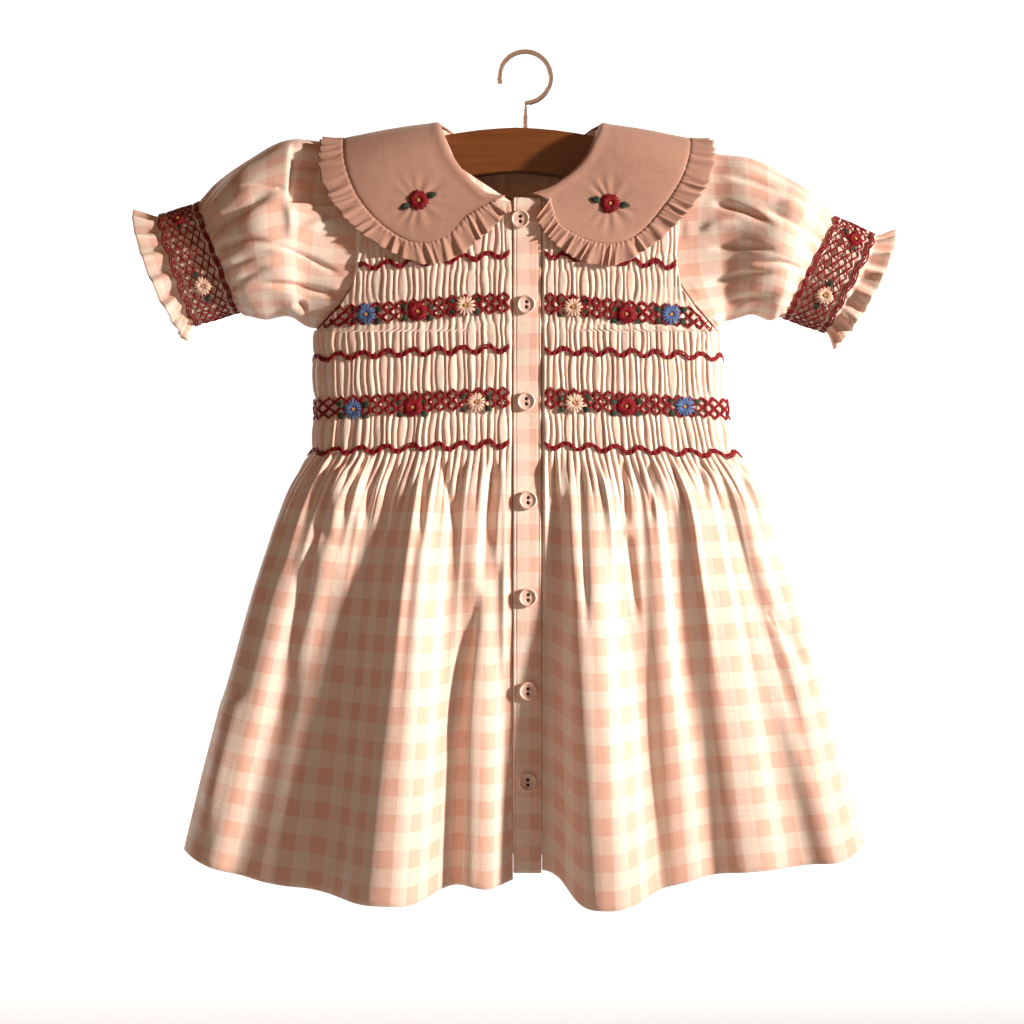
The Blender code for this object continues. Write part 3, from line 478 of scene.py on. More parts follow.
# pleats: |sin| ridges across the cloth, pinned at sewn rows and free between them, where each pleat takes
# its own width, lean and height; they let go below the waist at unlike lengths
def pleatRelief(across, drops, count, height, seed, release=60.0, rows=()):
    chance = np.random.default_rng(seed)
    rows = np.array(rows if len(rows) else [60.0, 300.0])
    d = drops[:, None]
    band = np.clip(np.searchsorted(rows, drops) - 1, 0, len(rows) - 2)
    t = np.clip((drops - rows[band]) / (rows[band + 1] - rows[band]), 0.0, 1.0)
    free = (np.sin(math.pi * t) ** 0.6 * np.clip((rows[band + 1] - rows[band]) / 16.0, 0.3, 1.0))[:, None]
    shift = chance.uniform(-0.50, 0.50, (len(rows), count + 1))
    shift[:, 0] = shift[:, -1] = 0.0
    lean = chance.uniform(-0.28, 0.28, (len(rows), count + 1))
    knots = np.arange(count + 1) / count
    share = np.broadcast_to(across, (len(drops), np.shape(across)[-1]))
    moved = np.array([np.interp(row, knots, shift[k]) for row, k in zip(share, band)])
    leaned = np.array([np.interp(row, knots, lean[k]) for row, k in zip(share, band)])
    wave = 0.06 * np.sin(2 * math.pi * (d / 37.0 + 3.1 * share))
    phase = share * count + free * (moved + leaned * (t[:, None] - 0.5) * 2) + wave * free
    ridge = np.abs(np.sin(math.pi * phase)) ** 0.62
    index = np.clip(np.floor(phase).astype(int), 0, count - 1)
    strength = chance.uniform(0.62, 1.25, (len(rows), count))[band[:, None], index]
    reach = chance.uniform(0.4, 1.4, count)[index] * release
    fadeOut = 1.0 - easeIn((d - 244.0) / reach)
    fadeIn = easeIn((d - 90.0) / 16.0)
    pinch = sum(np.exp(-((d - row) / 2.4) ** 2) for row in front["sewnRows"])
    pinched = 1.0 - 0.28 * np.clip(pinch, 0.0, 1.0)
    # mask of painted shade in the valleys between pleats, weaker at the sewn rows
    valleyShade = (1.0 - ridge) ** 2 * fadeIn * fadeOut * (1.0 - 0.6 * np.clip(pinch, 0.0, 1.0))
    return height * ridge * strength * fadeIn * fadeOut * pinched, valleyShade


# cloth standing out in soft bands between the sewn rows
def bandPuff(drops):
    rows = np.array(front["sewnRows"])
    index = np.clip(np.searchsorted(rows, drops) - 1, 0, len(rows) - 2)
    t = np.clip((drops - rows[index]) / (rows[index + 1] - rows[index]), 0.0, 1.0)
    room = np.clip((rows[index + 1] - rows[index]) / 20.0, 0.3, 1.0)
    inside = (drops > rows[0]) & (drops < rows[-1])
    return front["puff"] * np.sin(math.pi * t) * room * inside


# gathers: narrow uneven ridges that start at the waist and die out at unlike lengths
def gatherRelief(across, drops, count, seed):
    chance = np.random.default_rng(seed)
    total = np.zeros((len(drops), len(across)))
    for k in range(count):
        middle = (k + chance.uniform(0.15, 0.85)) / count
        width = chance.uniform(0.28, 0.62) / count
        height = chance.uniform(0.8, 2.8)
        length = chance.uniform(45.0, 200.0)
        t = (drops - 240.0) / length
        along = easeIn(t / 0.10) * (1.0 - easeIn(t)) * (1.0 + 0.5 * t)
        drift = chance.uniform(-0.012, 0.012) * t
        ridge = np.exp(-np.abs((across[None, :] - middle - drift[:, None]) / width) ** 1.7)
        total += height * along[:, None] * ridge
    return total


# a front from the side seam to the placket: grid in mm, uv in mm of cloth, outward normals, nominal drops
def frontSheet(rightSide):
    seed = 21 if rightSide else 11
    drops = panelDrops(1.25)
    across = np.linspace(0.0, 1.0, front["pleats"] * front["columnsPerPleat"] + 1)
    startX = sideLimit(drops, rightSide)
    endX = np.interp(drops, column(body["neckFront"], 0), column(body["neckFront"], 1))
    if rightSide:
        atPlacket = drops >= body["neckFront"][-1][0]
        endX = np.where(atPlacket, body["placketRight"] + body["seam"], 2 * body["neckCentre"] - endX)
        endX = np.maximum(endX, body["placketRight"] + body["seam"])
    xs, width = panelColumns(drops, startX, endX, across, -1)
    follow = np.interp(drops, [body["top"], 66.0, 76.0, 84.0, 88.5], [1.0, 0.6, 0.3, 0.1, 0.0])[:, None]
    down = np.clip((drops - body["waist"]) / (body["hem"] - body["waist"]), 0.0, 1.0)[:, None]
    hemDrop = smoothCurve(xs[-1], column(body["hemFront"], 0), column(body["hemFront"], 1))[None, :]
    nominal = np.broadcast_to(drops[:, None], xs.shape)
    upper = nominal + follow * (shoulderDrop(xs) - body["top"])
    actual = np.where(down > 0, body["waist"] + (hemDrop - body["waist"]) * down, upper)
    depth = bodyDepth(xs, upper, -1)
    base = asPoints(xs, depth, actual)
    normals = gridNormals(base, (0.0, -1.0, 0.0))
    edge = np.minimum(easeIn(across / 0.012), easeIn((1.0 - across) / 0.012))[None, :]
    cut = int(np.searchsorted(drops, front["underarm"]))
    sign = -1 if rightSide else 1
    share = np.array([np.interp(sign * x, sign * xs[cut], across) if k < cut else across
                      for k, x in enumerate(xs)])
    relief, valleyShade = pleatRelief(share, drops, front["pleats"], front["pleatHeight"], seed,
                                 rows=[104.0] + front["sewnRows"], release=38.0)
    relief = relief + bandPuff(drops)[:, None]
    relief = relief + gatherRelief(across, drops, front["gatherCount"], seed + 1)
    inset = easeIn((across * (1 - across))[None, :] * 30)
    relief = relief - creaseDepth(xs, actual, creases["front"]) * inset
    grid = base + normals * (body["wall"] + relief * edge)[:, :, None]
    lengthDown = np.concatenate([[0.0], np.cumsum(np.diff(drops))])
    uv = np.stack(np.broadcast_arrays(share * width, lengthDown[:, None]), axis=-1)
    return grid, uv, gridNormals(grid, (0.0, -1.0, 0.0)), drops, smockShare(drops), valleyShade, share


# share of smocking for the material: 1 between the yoke and the waist, gone at the top of the skirt
def smockShare(drops, start=92.0, end=262.0):
    return (easeIn((drops - start) / 14.0) * (1.0 - easeIn((drops - end + 22.0) / 40.0)))[:, None]


# drop and fraction across turned to a point on a sheet, with its normal; lift is along the normal, in mm
def onSheet(sheet, across, drop, lift=0.0):
    grid, normals, drops = sheet[0], sheet[2], sheet[3]
    row = np.interp(drop, drops, np.arange(len(drops)))
    share = sheet[6]
    col = np.array([np.interp(f, share[int(k)], np.arange(grid.shape[1])) for f, k in zip(across, row)])
    r = np.minimum(row.astype(int), len(grid) - 2)
    c = np.minimum(col.astype(int), grid.shape[1] - 2)
    fr = (row - r)[..., None]
    fc = (col - c)[..., None]

    def blend(values):
        top = values[r, c] * (1 - fc) + values[r, c + 1] * fc
        return top * (1 - fr) + (values[r + 1, c] * (1 - fc) + values[r + 1, c + 1] * fc) * fr

    normal = unit(blend(normals))
    return blend(grid) + normal * np.asarray(lift)[..., None], normal


ginghamCloth = ginghamMaterial()
fronts = {}
for sideName, rightSide in (("left", False), ("right", True)):
    sheet = frontSheet(rightSide)
    fronts[sideName] = sheet
    piece = shellObject("front_panel_" + sideName, sheet, ginghamCloth, (0.0, -1.0, 0.0),
                        turn=front["hemTurn"])
    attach(piece, "root")
    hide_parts("front_" + sideName)
print("fronts made")


placket = {"top": 89.5, "thick": 2.1, "stitchIn": 1.7, "columns": 40, "rows": 240}


# front strip: flat across, its two long edges folded back; outward = thick - edge^6 roll + slow waves
def makePlacket():
    hem = float(smoothCurve(1.0, column(body["hemFront"], 0), column(body["hemFront"], 1)))
    across = np.linspace(-1.0, 1.0, placket["columns"])[None, :]
    drops = np.linspace(placket["top"], hem, placket["rows"])[:, None]
    middle = (body["placketLeft"] + body["placketRight"]) / 2
    half = (body["placketRight"] - body["placketLeft"]) / 2
    x = middle + half * np.sin(across * math.pi / 2 * 0.999)
    base = asPoints(x, bodyDepth(x, drops, -1), drops)
    normals = gridNormals(base, (0.0, -1.0, 0.0))
    inset = half - np.abs(x - middle)
    seamLine = np.exp(-((inset - placket["stitchIn"]) / 0.35) ** 2)
    waves = 0.35 * np.sin(drops / 9.0 + across * 1.3) + 0.3 * np.sin(drops / 23.0 - across * 2.1 + 1.0)
    roll = -1.3 * np.clip(1.0 - inset / 0.8, 0.0, 1.0) ** 2
    grid = base + normals * (placket["thick"] + waves * 0.5 + roll - 0.35 * seamLine)[:, :, None]
    uv = np.stack(np.broadcast_arrays(x + 204.0, drops - body["top"]), axis=-1)
    return grid, uv, gridNormals(grid, (0.0, -1.0, 0.0))


placketSheet = makePlacket()
piece = shellObject("button_placket", placketSheet, ginghamCloth, (0.0, -1.0, 0.0), wall=1.4)
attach(piece, "root")
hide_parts("placket")


back = {"pleats": 44, "columnsPerPleat": 6, "pleatHeight": 1.5, "gatherCount": 30,
        "shirredRows": [104.0, 140.0, 160.0, 180.0, 200.0, 220.0, 239.0], "shirredStart": 128.0}


# drop of the back's top edge: the neck's curve, and past it the shoulder
def backTop(x):
    away = np.abs(x - body["neckCentre"])
    neck = smoothCurve(away, column(body["neckBack"], 0), column(body["neckBack"], 1))
    return np.where(away < body["neckBack"][-1][0], neck, shoulderDrop(x))


# the back: a plain yoke, then shirred between the shoulder blades and the waist, then gathers
def makeBack():
    drops = panelDrops(1.6)
    across = np.linspace(0.0, 1.0, back["pleats"] * back["columnsPerPleat"] + 1)
    xs, width = panelColumns(drops, sideLimit(drops, False), sideLimit(drops, True), across, 1)
    follow = np.interp(drops, [body["top"], 66.0, 84.0, 122.0], [1.0, 0.6, 0.2, 0.0])[:, None]
    down = np.clip((drops - body["waist"]) / (body["hem"] - body["waist"]), 0.0, 1.0)[:, None]
    hemDrop = smoothCurve(xs[-1], column(body["hemBack"], 0), column(body["hemBack"], 1))[None, :]
    nominal = np.broadcast_to(drops[:, None], xs.shape)
    upper = nominal + follow * (backTop(xs) - body["top"])
    actual = np.where(down > 0, body["waist"] + (hemDrop - body["waist"]) * down, upper)
    depth = np.where(down > 0, bodyDepth(xs, nominal, 1), bodyDepth(xs, upper, 1))
    base = asPoints(xs, depth, actual)
    normals = gridNormals(base, (0.0, 1.0, 0.0))
    edge = np.minimum(easeIn(across / 0.01), easeIn((1.0 - across) / 0.01))[None, :]
    relief, valleyShade = pleatRelief(across, drops, back["pleats"], back["pleatHeight"], 31,
                                 rows=back["shirredRows"])
    shirred = easeIn((drops - back["shirredStart"]) / 20)[:, None]
    relief = relief * shirred
    valleyShade = valleyShade * shirred
    relief = relief + gatherRelief(across, drops, back["gatherCount"], 32)
    relief = relief - creaseDepth(xs, actual, creases["back"])
    grid = base + normals * (body["wall"] + relief * edge)[:, :, None]
    lengthDown = np.concatenate([[0.0], np.cumsum(np.diff(drops))])
    uv = np.stack(np.broadcast_arrays(across[None, :] * width, lengthDown[:, None]), axis=-1)
    smocked = smockShare(drops, start=back["shirredStart"])
    return grid, uv, gridNormals(grid, (0.0, 1.0, 0.0)), drops, smocked, valleyShade


backSheet = makeBack()
piece = shellObject("back_panel", backSheet, ginghamCloth, (0.0, 1.0, 0.0), turn=front["hemTurn"])
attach(piece, "root")
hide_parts("back")
print("placket and back made")


# one row for each ring past the armhole: top x, top drop, bottom x, bottom drop, half depth, bulge
sleeves = {
    "left": [(-120, 52.5, -129, 164.0, 20.0, 0.0), (-140, 52.0, -140, 158.5, 28.0, 0.0),
             (-165, 62.5, -155, 158.5, 31.0, 0.0), (-184, 79.0, -167, 156.5, 24.0, 0.0),
             (-195, 90.0, -171.5, 153.5, 14.0, 0.0), (-207, 94.5, -185, 157.5, 14.5, 1.0),
             (-219.5, 98.0, -198.5, 162.0, 14.0, 2.0), (-235, 96.5, -203.5, 171.5, 17.0, 3.5)],
    "right": [(112, 59.0, 121, 160.0, 20.0, 0.0), (134, 63.0, 134, 157.0, 27.0, 0.0),
              (160, 75.0, 146, 159.0, 30.0, 0.0), (176, 88.5, 152, 158.0, 23.0, 0.0),
              (185, 98.5, 155.5, 157.0, 13.5, 0.0), (197, 104.0, 168, 161.5, 14.0, 1.0),
              (209.5, 109.5, 180, 166.0, 13.5, 2.0), (222.5, 108.5, 187.0, 176.0, 16.5, 3.5)],
    "pleats": 26, "columnsPerPleat": 12, "rows": 150, "underarmRise": 3.0, "seamTuck": 0.7,
    "seamInward": 0.5, "fanGathers": 8, "headGathers": 13, "flutes": 15, "ringLength": 372.0,
    "bandStart": 5.0, "bandEnd": 7.0, "pleatHeight": 1.5, "fluteHeight": 2.6,
    # x, drop of both ends, depth in mm (a ridge is below 0), half width
    "creasesLeft": [(-149, 86.5, -186, 108, 4.5, 4.0), (-137.5, 85.4, -167, 82, 1.6, 1.4),
                    (-140, 93, -139.5, 116, -2.0, 2.6), (-113, 101, -138, 113, -2.2, 3.2),
                    (-110, 134, -151, 117, 2.0, 1.5), (-145, 122, -180, 132, 2.2, 1.8),
                    (-107, 147, -158, 140, 2.6, 2.0), (-150, 116, -182, 118, 2.4, 1.8),
                    (-130, 155, -138, 152, 2.6, 2.2), (-150, 131, -176, 143, 1.6, 2.4)],
    "creasesRight": [(112, 92, 146, 106, 3.0, 2.4), (140, 96, 176, 116, 3.2, 3.0),
                     (110, 118, 150, 122, 2.2, 2.0), (108, 140, 150, 134, 2.6, 2.0),
                     (134, 128, 166, 132, 2.0, 1.8), (120, 76, 150, 84, 2.0, 2.4),
                     (104, 108, 128, 104, -2.0, 3.2), (118, 152, 150, 148, 2.2, 2.2),
                     (150, 92, 170, 104, -1.8, 3.0)],
}


# ring of the armhole edge, top first, round by the front
def armholeRing(rightSide, angles):
    top = float(shoulderDrop(np.array(armholeX(np.array(body["armhole"][0][0]), rightSide))))
    bottom = body["armhole"][-1][0]
    drops = top + (bottom - top) * (1 - np.cos(angles)) / 2
    x = armholeX(drops, rightSide)
    y = np.where(angles <= math.pi, bodyDepth(x, drops, -1), bodyDepth(x, drops, 1))
    y = y - (body["wall"] - sleeves["seamTuck"]) * np.sin(angles)
    inward = -sleeves["seamInward"] if rightSide else sleeves["seamInward"]
    return asPoints(x + inward, y, drops - sleeves["underarmRise"] * (1 - np.cos(angles)) / 2)


# slanted creases anywhere on a surface: exp(-(distance to the line / width)^2), eased at both ends
def lineCreases(x, drop, table):
    total = np.zeros(x.shape)
    for startX, startDrop, endX, endDrop, depth, width in table:
        along = np.array([endX - startX, endDrop - startDrop], dtype=float)
        length = np.hypot(*along)
        t = ((x - startX) * along[0] + (drop - startDrop) * along[1]) / length ** 2
        off = ((x - startX) * along[1] - (drop - startDrop) * along[0]) / length
        bend = off - 1.6 * np.sin(math.pi * np.clip(t, 0, 1)) * (1 if startX < endX else -1)
        ends = easeIn((t + 0.1) / 0.4) * easeIn((1.1 - t) / 0.6)
        total += 1.3 * depth * ends * np.exp(-(bend / width) ** 2)
    return total


# a puffed sleeve: elliptic rings blended along it, gathers that fan from the smocked band, a fluted frill
def makeSleeve(sideName):
    rightSide = sideName == "right"
    count = sleeves["pleats"] * sleeves["columnsPerPleat"]
    angles = np.arange(count) * 2 * math.pi / count
    rings = [armholeRing(rightSide, angles)]
    for topX, topDrop, bottomX, bottomDrop, depth, bulge in sleeves[sideName]:
        along = (1 - np.cos(angles)) / 2
        length = math.hypot(bottomX - topX, bottomDrop - topDrop)
        standOut = bulge * np.sin(angles) ** 2
        outward = standOut if rightSide else -standOut
        x = topX + (bottomX - topX) * along + outward * (bottomDrop - topDrop) / length
        drop = topDrop + (bottomDrop - topDrop) * along + standOut * abs(bottomX - topX) / length
        rings.append(asPoints(x, -depth * np.sin(angles), drop))
    rows = sleeves["rows"]
    at = 8.0 * (np.linspace(0.0, 1.0, rows) * 0.86 + 0.14 * np.linspace(0.0, 1.0, rows) ** 2)
    skin = smoothCurve(at, np.arange(9), np.array(rings))
    centre = skin.mean(axis=1, keepdims=True)
    normals = gridNormals(skin, skin - centre, closed=True)
    normals[0, :, 0] = 0.0
    normals = unit(normals)
    x, drop = skin[:, :, 0], -skin[:, :, 2]
    a = angles[None, :] / (2 * math.pi)
    s = at[:, None]
    inBand = easeIn((s - sleeves["bandStart"] + 0.12) / 0.15) * easeIn((sleeves["bandEnd"] + 0.1 - s) / 0.15)
    wander = 0.12 * np.sin(2 * math.pi * (s * 0.9 + 3 * a))
    ridge = np.abs(np.sin(math.pi * (a * sleeves["pleats"] + wander))) ** 0.75
    relief = sleeves["pleatHeight"] * ridge * inBand
    chance = np.random.default_rng(51 if rightSide else 41)
    fans = sleeves["pleats"] + sleeves["fanGathers"]
    for k in range(fans):
        middle = (k + chance.uniform(0.1, 0.9)) / fans
        reach = chance.uniform(0.7, 2.6)
        t = (sleeves["bandStart"] - s) / reach
        width = chance.uniform(0.008, 0.014) * (1 + 1.3 * np.clip(t, 0, 1))
        height = chance.uniform(0.6, 1.7)
        away = (a - middle - chance.uniform(-0.02, 0.02) * t + 0.5) % 1.0 - 0.5
        along = easeIn((t + 0.03) / 0.12) * (1.0 - easeIn(t)) * (1.0 + 0.6 * np.clip(t, 0, 1))
        relief = relief + height * along * np.exp(-np.abs(away / width) ** 1.7)
    for k in range(sleeves["headGathers"]):
        middle = (k + chance.uniform(0.1, 0.9)) / sleeves["headGathers"]
        reach = chance.uniform(0.5, 1.5)
        t = (s - 0.05) / reach
        width = chance.uniform(0.010, 0.018)
        away = (a - middle + 0.5) % 1.0 - 0.5
        along = easeIn(t / 0.3) * (1.0 - easeIn(t))
        relief = relief + chance.uniform(0.6, 1.6) * along * np.exp(-(away / width) ** 2)
    outerFrill = np.clip((s - sleeves["bandEnd"]) / (8.0 - sleeves["bandEnd"]), 0.0, 1.0)
    uneven = 0.10 * np.sin(2 * math.pi * (a * 4 + 0.2))
    swing = np.sin(2 * math.pi * (a * sleeves["flutes"] + uneven + 0.1 * outerFrill))
    small = 0.3 * np.sin(2 * math.pi * a * 31)
    relief = relief + sleeves["fluteHeight"] * outerFrill ** 0.8 * (swing + small)
    slow = np.sin(2 * math.pi * (s * 0.55 + a * 3.0))
    relief = relief + 0.8 * slow * np.sin(math.pi * np.clip(s / 5, 0, 1))
    facing = skin[:, :, 1] < 0
    table = sleeves["creasesRight" if rightSide else "creasesLeft"]
    troughs = lineCreases(x, drop, table) * facing * easeIn(-skin[:, :, 1] / 6.0)
    behind = [(x0, 240 - drop0, x1, 240 - drop1, deep, wide) for x0, drop0, x1, drop1, deep, wide in table]
    troughs = troughs + lineCreases(x, drop + 8.0, behind) * ~facing * easeIn(skin[:, :, 1] / 6.0)
    if not rightSide:
        pocket = easeIn((x + 140.0) / 2.2) * easeIn((92.6 - drop) / 2.0) * easeIn((drop - 54.0) / 12.0)
        troughs = troughs + 10.0 * pocket * facing * easeIn(-skin[:, :, 1] / 10.0) * easeIn(s / 0.6)
    relief = (relief - troughs) * easeIn(s / 0.25)
    grid = skin + normals * relief[:, :, None]
    steps = np.linalg.norm(np.diff(skin, axis=0), axis=2).mean(axis=1)
    lengthAlong = np.concatenate([[0.0], np.cumsum(steps)])
    uv = np.stack(np.broadcast_arrays(a * sleeves["ringLength"], lengthAlong[:, None]), axis=-1)
    # mask of painted shade in the valleys between the band's pleats
    valleyShade = (1.0 - ridge) ** 2 * inBand
    sheet = (grid, uv, gridNormals(grid, skin - centre, closed=True), at, inBand, valleyShade)
    sleeve = shellObject("puff_sleeve_" + sideName, sheet, ginghamCloth, skin - centre, wall=0.9, closed=True)
    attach(sleeve, "root")
    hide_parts("sleeve_" + sideName)
    return sheet


sleeveSheets = {sideName: makeSleeve(sideName) for sideName in ("left", "right")}
print("sleeves made")


# +1 in front or -1 behind, then x and drop of the neck edge, of the seam and of the frill's edge, and the
# height over the dress at the seam and at the frill's edge
collar = {
    "left": [(1, -12, 88, -19, 92, -10, 98, 3.0, 3.2), (1, -22, 86.5, -33, 100, -25, 113, 3.0, 3.2),
             (1, -29.5, 81, -47, 113, -42, 125.5, 3.0, 3.2), (1, -34, 76, -65, 116.5, -62, 128.5, 3.0, 3.4),
             (1, -39, 70, -83, 107, -90, 115, 3.4, 5.0), (1, -44, 62, -97, 91, -108, 97, 5.0, 9.5),
             (1, -47.5, 54, -104.5, 73, -116.5, 77, 5.5, 10.0), (1, -49, 49.5, -107, 60, -119, 62, 5.0, 8.5),
             (0, -50, 0, -107.5, 0, -120, 0, 3.6, 4.0), (-1, -45.5, 46.4, -107, 60, -119, 62, 5.0, 8.5),
             (-1, -38.5, 50.5, -101, 82, -111, 91, 5.5, 10.0), (-1, -30, 57, -82, 100, -89, 111, 3.6, 5.5),
             (-1, -18, 60.5, -50, 112, -53, 124.5, 3.0, 3.4), (-1, -6, 61, -6, 116, -6, 129, 3.0, 3.4)],
    "right": [(1, 4, 86.5, 14, 90, 6, 101, 3.0, 3.2), (1, 14, 83, 20, 105, 13, 113, 3.0, 3.2),
              (1, 21, 78.5, 36, 115, 30, 126, 3.0, 3.2), (1, 27, 74, 52, 117, 51, 130, 3.0, 3.4),
              (1, 32, 69, 68, 110, 74, 118, 3.4, 5.0), (1, 37, 62, 82, 94, 92, 100, 5.0, 9.0),
              (1, 41, 54, 92, 77, 104, 81, 5.5, 10.0), (1, 43, 49.5, 97, 62, 109, 64, 5.0, 8.5),
              (0, 44, 0, 97.5, 0, 110, 0, 3.6, 4.0), (-1, 39.5, 46.4, 97, 60, 109, 62, 5.0, 8.5),
              (-1, 32.5, 50.5, 91, 82, 101, 91, 5.5, 10.0), (-1, 24, 57, 72, 100, 79, 111, 3.6, 5.5),
              (-1, 12, 60.5, 40, 112, 43, 124.5, 3.0, 3.4), (-1, 0, 61, 0, 116, 0, 129, 3.0, 3.4)],
    "wall": 1.0, "leafRows": 240, "leafColumns": 34, "frillRows": 600, "frillColumns": 13, "gathers": 46,
    "frillHeight": 1.5, "frillWidth": 13.0, "fullness": 1.6,
    "flowers": {"left": (-63.0, 91.0), "right": (50.0, 93.0)},
}


# arc over the shoulder for a drop below its seam: R * acos(1 - drop / R), then straight down
def arcFromDrop(below):
    radius = body["shoulderRadius"]
    bent = radius * np.arccos(np.clip(1.0 - below / radius, -1.0, 1.0))
    return np.where(below < radius, bent, radius * math.pi / 2 + below - radius)


# the other way round: R * (1 - cos(arc / R)), then straight down
def dropFromArc(arc):
    radius = body["shoulderRadius"]
    bent = radius * (1.0 - np.cos(np.clip(arc / radius, 0.0, math.pi / 2)))
    return np.where(arc < radius * math.pi / 2, bent, radius + arc - radius * math.pi / 2)


# a point on the yoke from x and the signed arc from the shoulder's top, front positive
def yokePoints(x, arc):
    drop = shoulderDrop(x) + dropFromArc(np.abs(arc))
    return asPoints(x, np.where(arc >= 0, bodyDepth(x, drop, -1), bodyDepth(x, drop, 1)), drop)


# neck edge, seam and frill edge as (x, signed arc) rows, and the two heights, through the table's rows
def collarLines(table, stations):
    side = np.array(column(table, 0), dtype=float)
    at = np.linspace(0, len(table) - 1, stations)
    lines = []
    for first in (1, 3, 5):
        x = np.array(column(table, first), dtype=float)
        below = np.maximum(np.array(column(table, first + 1), dtype=float) - shoulderDrop(x), 0.0)
        line = np.stack([x, side * arcFromDrop(below)], axis=1)
        lines.append(smoothCurve(at, np.arange(len(table)), line))
    lifts = smoothCurve(at, np.arange(len(table)), np.array([row[7:9] for row in table], dtype=float))
    return lines, lifts


# normals that look away from the middle of the shoulders
def outwardNormals(points):
    normals = gridNormals(points, (0.0, 0.0, 1.0))
    away = (points - np.array([body["centre"], 0.0, -70.0])) * np.array([0.05, 1.0, 0.3])
    sign = np.sign(np.sum(normals * away, axis=2, keepdims=True))
    return normals * np.where(sign == 0, 1.0, sign)


# mean of the neighbours, to calm normals where a surface bends sharply
def calm(values, times):
    for _ in range(times):
        values[1:-1] = (values[:-2] + 2 * values[1:-1] + values[2:]) / 4
    return values


# a collar leaf: flat cloth from the neck edge to the seam, rolled at both edges, puckered round its flower
def makeCollarLeaf(sideName):
    table = collar[sideName]
    (neck, seam, _), lifts = collarLines(table, collar["leafRows"])
    across = np.linspace(0.0, 1.0, collar["leafColumns"])[None, :, None]
    flat = neck[:, None, :] * (1 - across) + seam[:, None, :] * across
    base = yokePoints(flat[:, :, 0], flat[:, :, 1])
    normals = unit(calm(outwardNormals(base), 12))
    rise = body["wall"] + 2.0 + (lifts[:, None, 0:1] - 1.0) * across ** 0.8
    span = np.linalg.norm(seam - neck, axis=1)[:, None, None]
    roll = -0.7 * np.clip(1.0 - across * span / 1.4, 0.0, 1.0) ** 2
    roll = roll - 0.6 * np.clip(1.0 - (1 - across) * span / 1.2, 0.0, 1.0) ** 2
    neckRoll = 0.6 * np.exp(-((across * span - 3.0) / 2.4) ** 2)
    x, drop = base[:, :, 0:1], -base[:, :, 2:3]
    flowerX, flowerDrop = collar["flowers"][sideName]
    away = np.hypot(x - flowerX, drop - flowerDrop)
    bearing = np.arctan2(drop - flowerDrop, x - flowerX)
    pucker = 0.35 * np.sin(bearing * 11 + 1.3 * np.sin(bearing * 3)) * np.exp(-((away - 9.0) / 7.0) ** 2)
    pucker = pucker * (base[:, :, 1:2] < 0)
    swell = 0.5 * np.sin(flat[:, :, 0:1] / 17.0 + 1.0) * np.sin(flat[:, :, 1:2] / 21.0) * across
    grid = base + normals * (rise + roll + neckRoll + pucker + swell)
    sheet = (grid, flat * np.array([1.0, -1.0]), outwardNormals(grid))
    leaf = shellObject("collar_leaf_" + sideName, sheet, plainCotton, sheet[2], wall=collar["wall"], every=2)
    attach(leaf, "root")
    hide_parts("collar_" + sideName)
    return sheet


# the frill: gathers |sin| at the seam that open to soft flutes at the edge, height = 1.5 mm * out
def makeCollarFrill(sideName):
    table = collar[sideName]
    (_, seam, edge), lifts = collarLines(table, collar["frillRows"])
    out = np.linspace(-0.10, 1.0, collar["frillColumns"])[None, :, None]
    t = np.linspace(0.0, 1.0, collar["frillRows"])[:, None, None]
    chance = np.random.default_rng(61 if sideName == "left" else 71)
    places = np.cumsum(chance.uniform(0.55, 1.45, collar["gathers"] + 1))
    places = (places - places[0]) / (places[-1] - places[0])
    phase = np.interp(t[:, 0, 0], places, np.arange(len(places)))[:, None, None]
    lean = 0.22 * np.sin(phase * 1.7) * np.clip(out, 0, 1)
    wave = np.sin(2 * math.pi * (phase + lean))
    swing = 0.55 + 0.45 * np.sin(phase * 2.3 + 1.0)
    flat = seam[:, None, :] + (edge - seam)[:, None, :] * (out + 0.035 * wave * np.clip(out, 0, 1) ** 2)
    along = unit(np.gradient(seam, axis=0))[:, None, :]
    flat = flat + along * 0.55 * np.sin(2 * math.pi * (phase + lean) + 0.8) * np.clip(out, 0, 1)
    base = yokePoints(flat[:, :, 0], flat[:, :, 1])
    middle = seam[:, None, :] + (edge - seam)[:, None, :] * out
    normals = unit(calm(outwardNormals(yokePoints(middle[:, :, 0], middle[:, :, 1])), 14))
    lift = np.clip(out, 0, 1)
    rise = body["wall"] + 1.0 + lifts[:, None, 0:1] * (1 - lift) + lifts[:, None, 1:2] * lift
    crest = 0.5 * np.abs(np.sin(math.pi * phase * 2)) * np.exp(-(np.clip(out, 0, 1) / 0.25) ** 2)
    height = collar["frillHeight"] * lift ** 0.7 * wave * swing + crest
    tuck = -1.5 * np.clip(-out / 0.10, 0.0, 1.0)
    grid = base + normals * (rise + height + tuck)
    length = np.concatenate([[0.0], np.cumsum(np.linalg.norm(np.diff(edge, axis=0), axis=1))])
    length = length[:, None] * collar["fullness"]
    uv = np.stack(np.broadcast_arrays(out[:, :, 0] * collar["frillWidth"], length), axis=-1)
    sheet = (grid, uv, outwardNormals(grid))
    frill = shellObject("collar_ruffle_" + sideName, sheet, plainCotton, sheet[2], wall=0.6, every=2)
    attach(frill, "root")
    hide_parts("collar_frill_" + sideName)


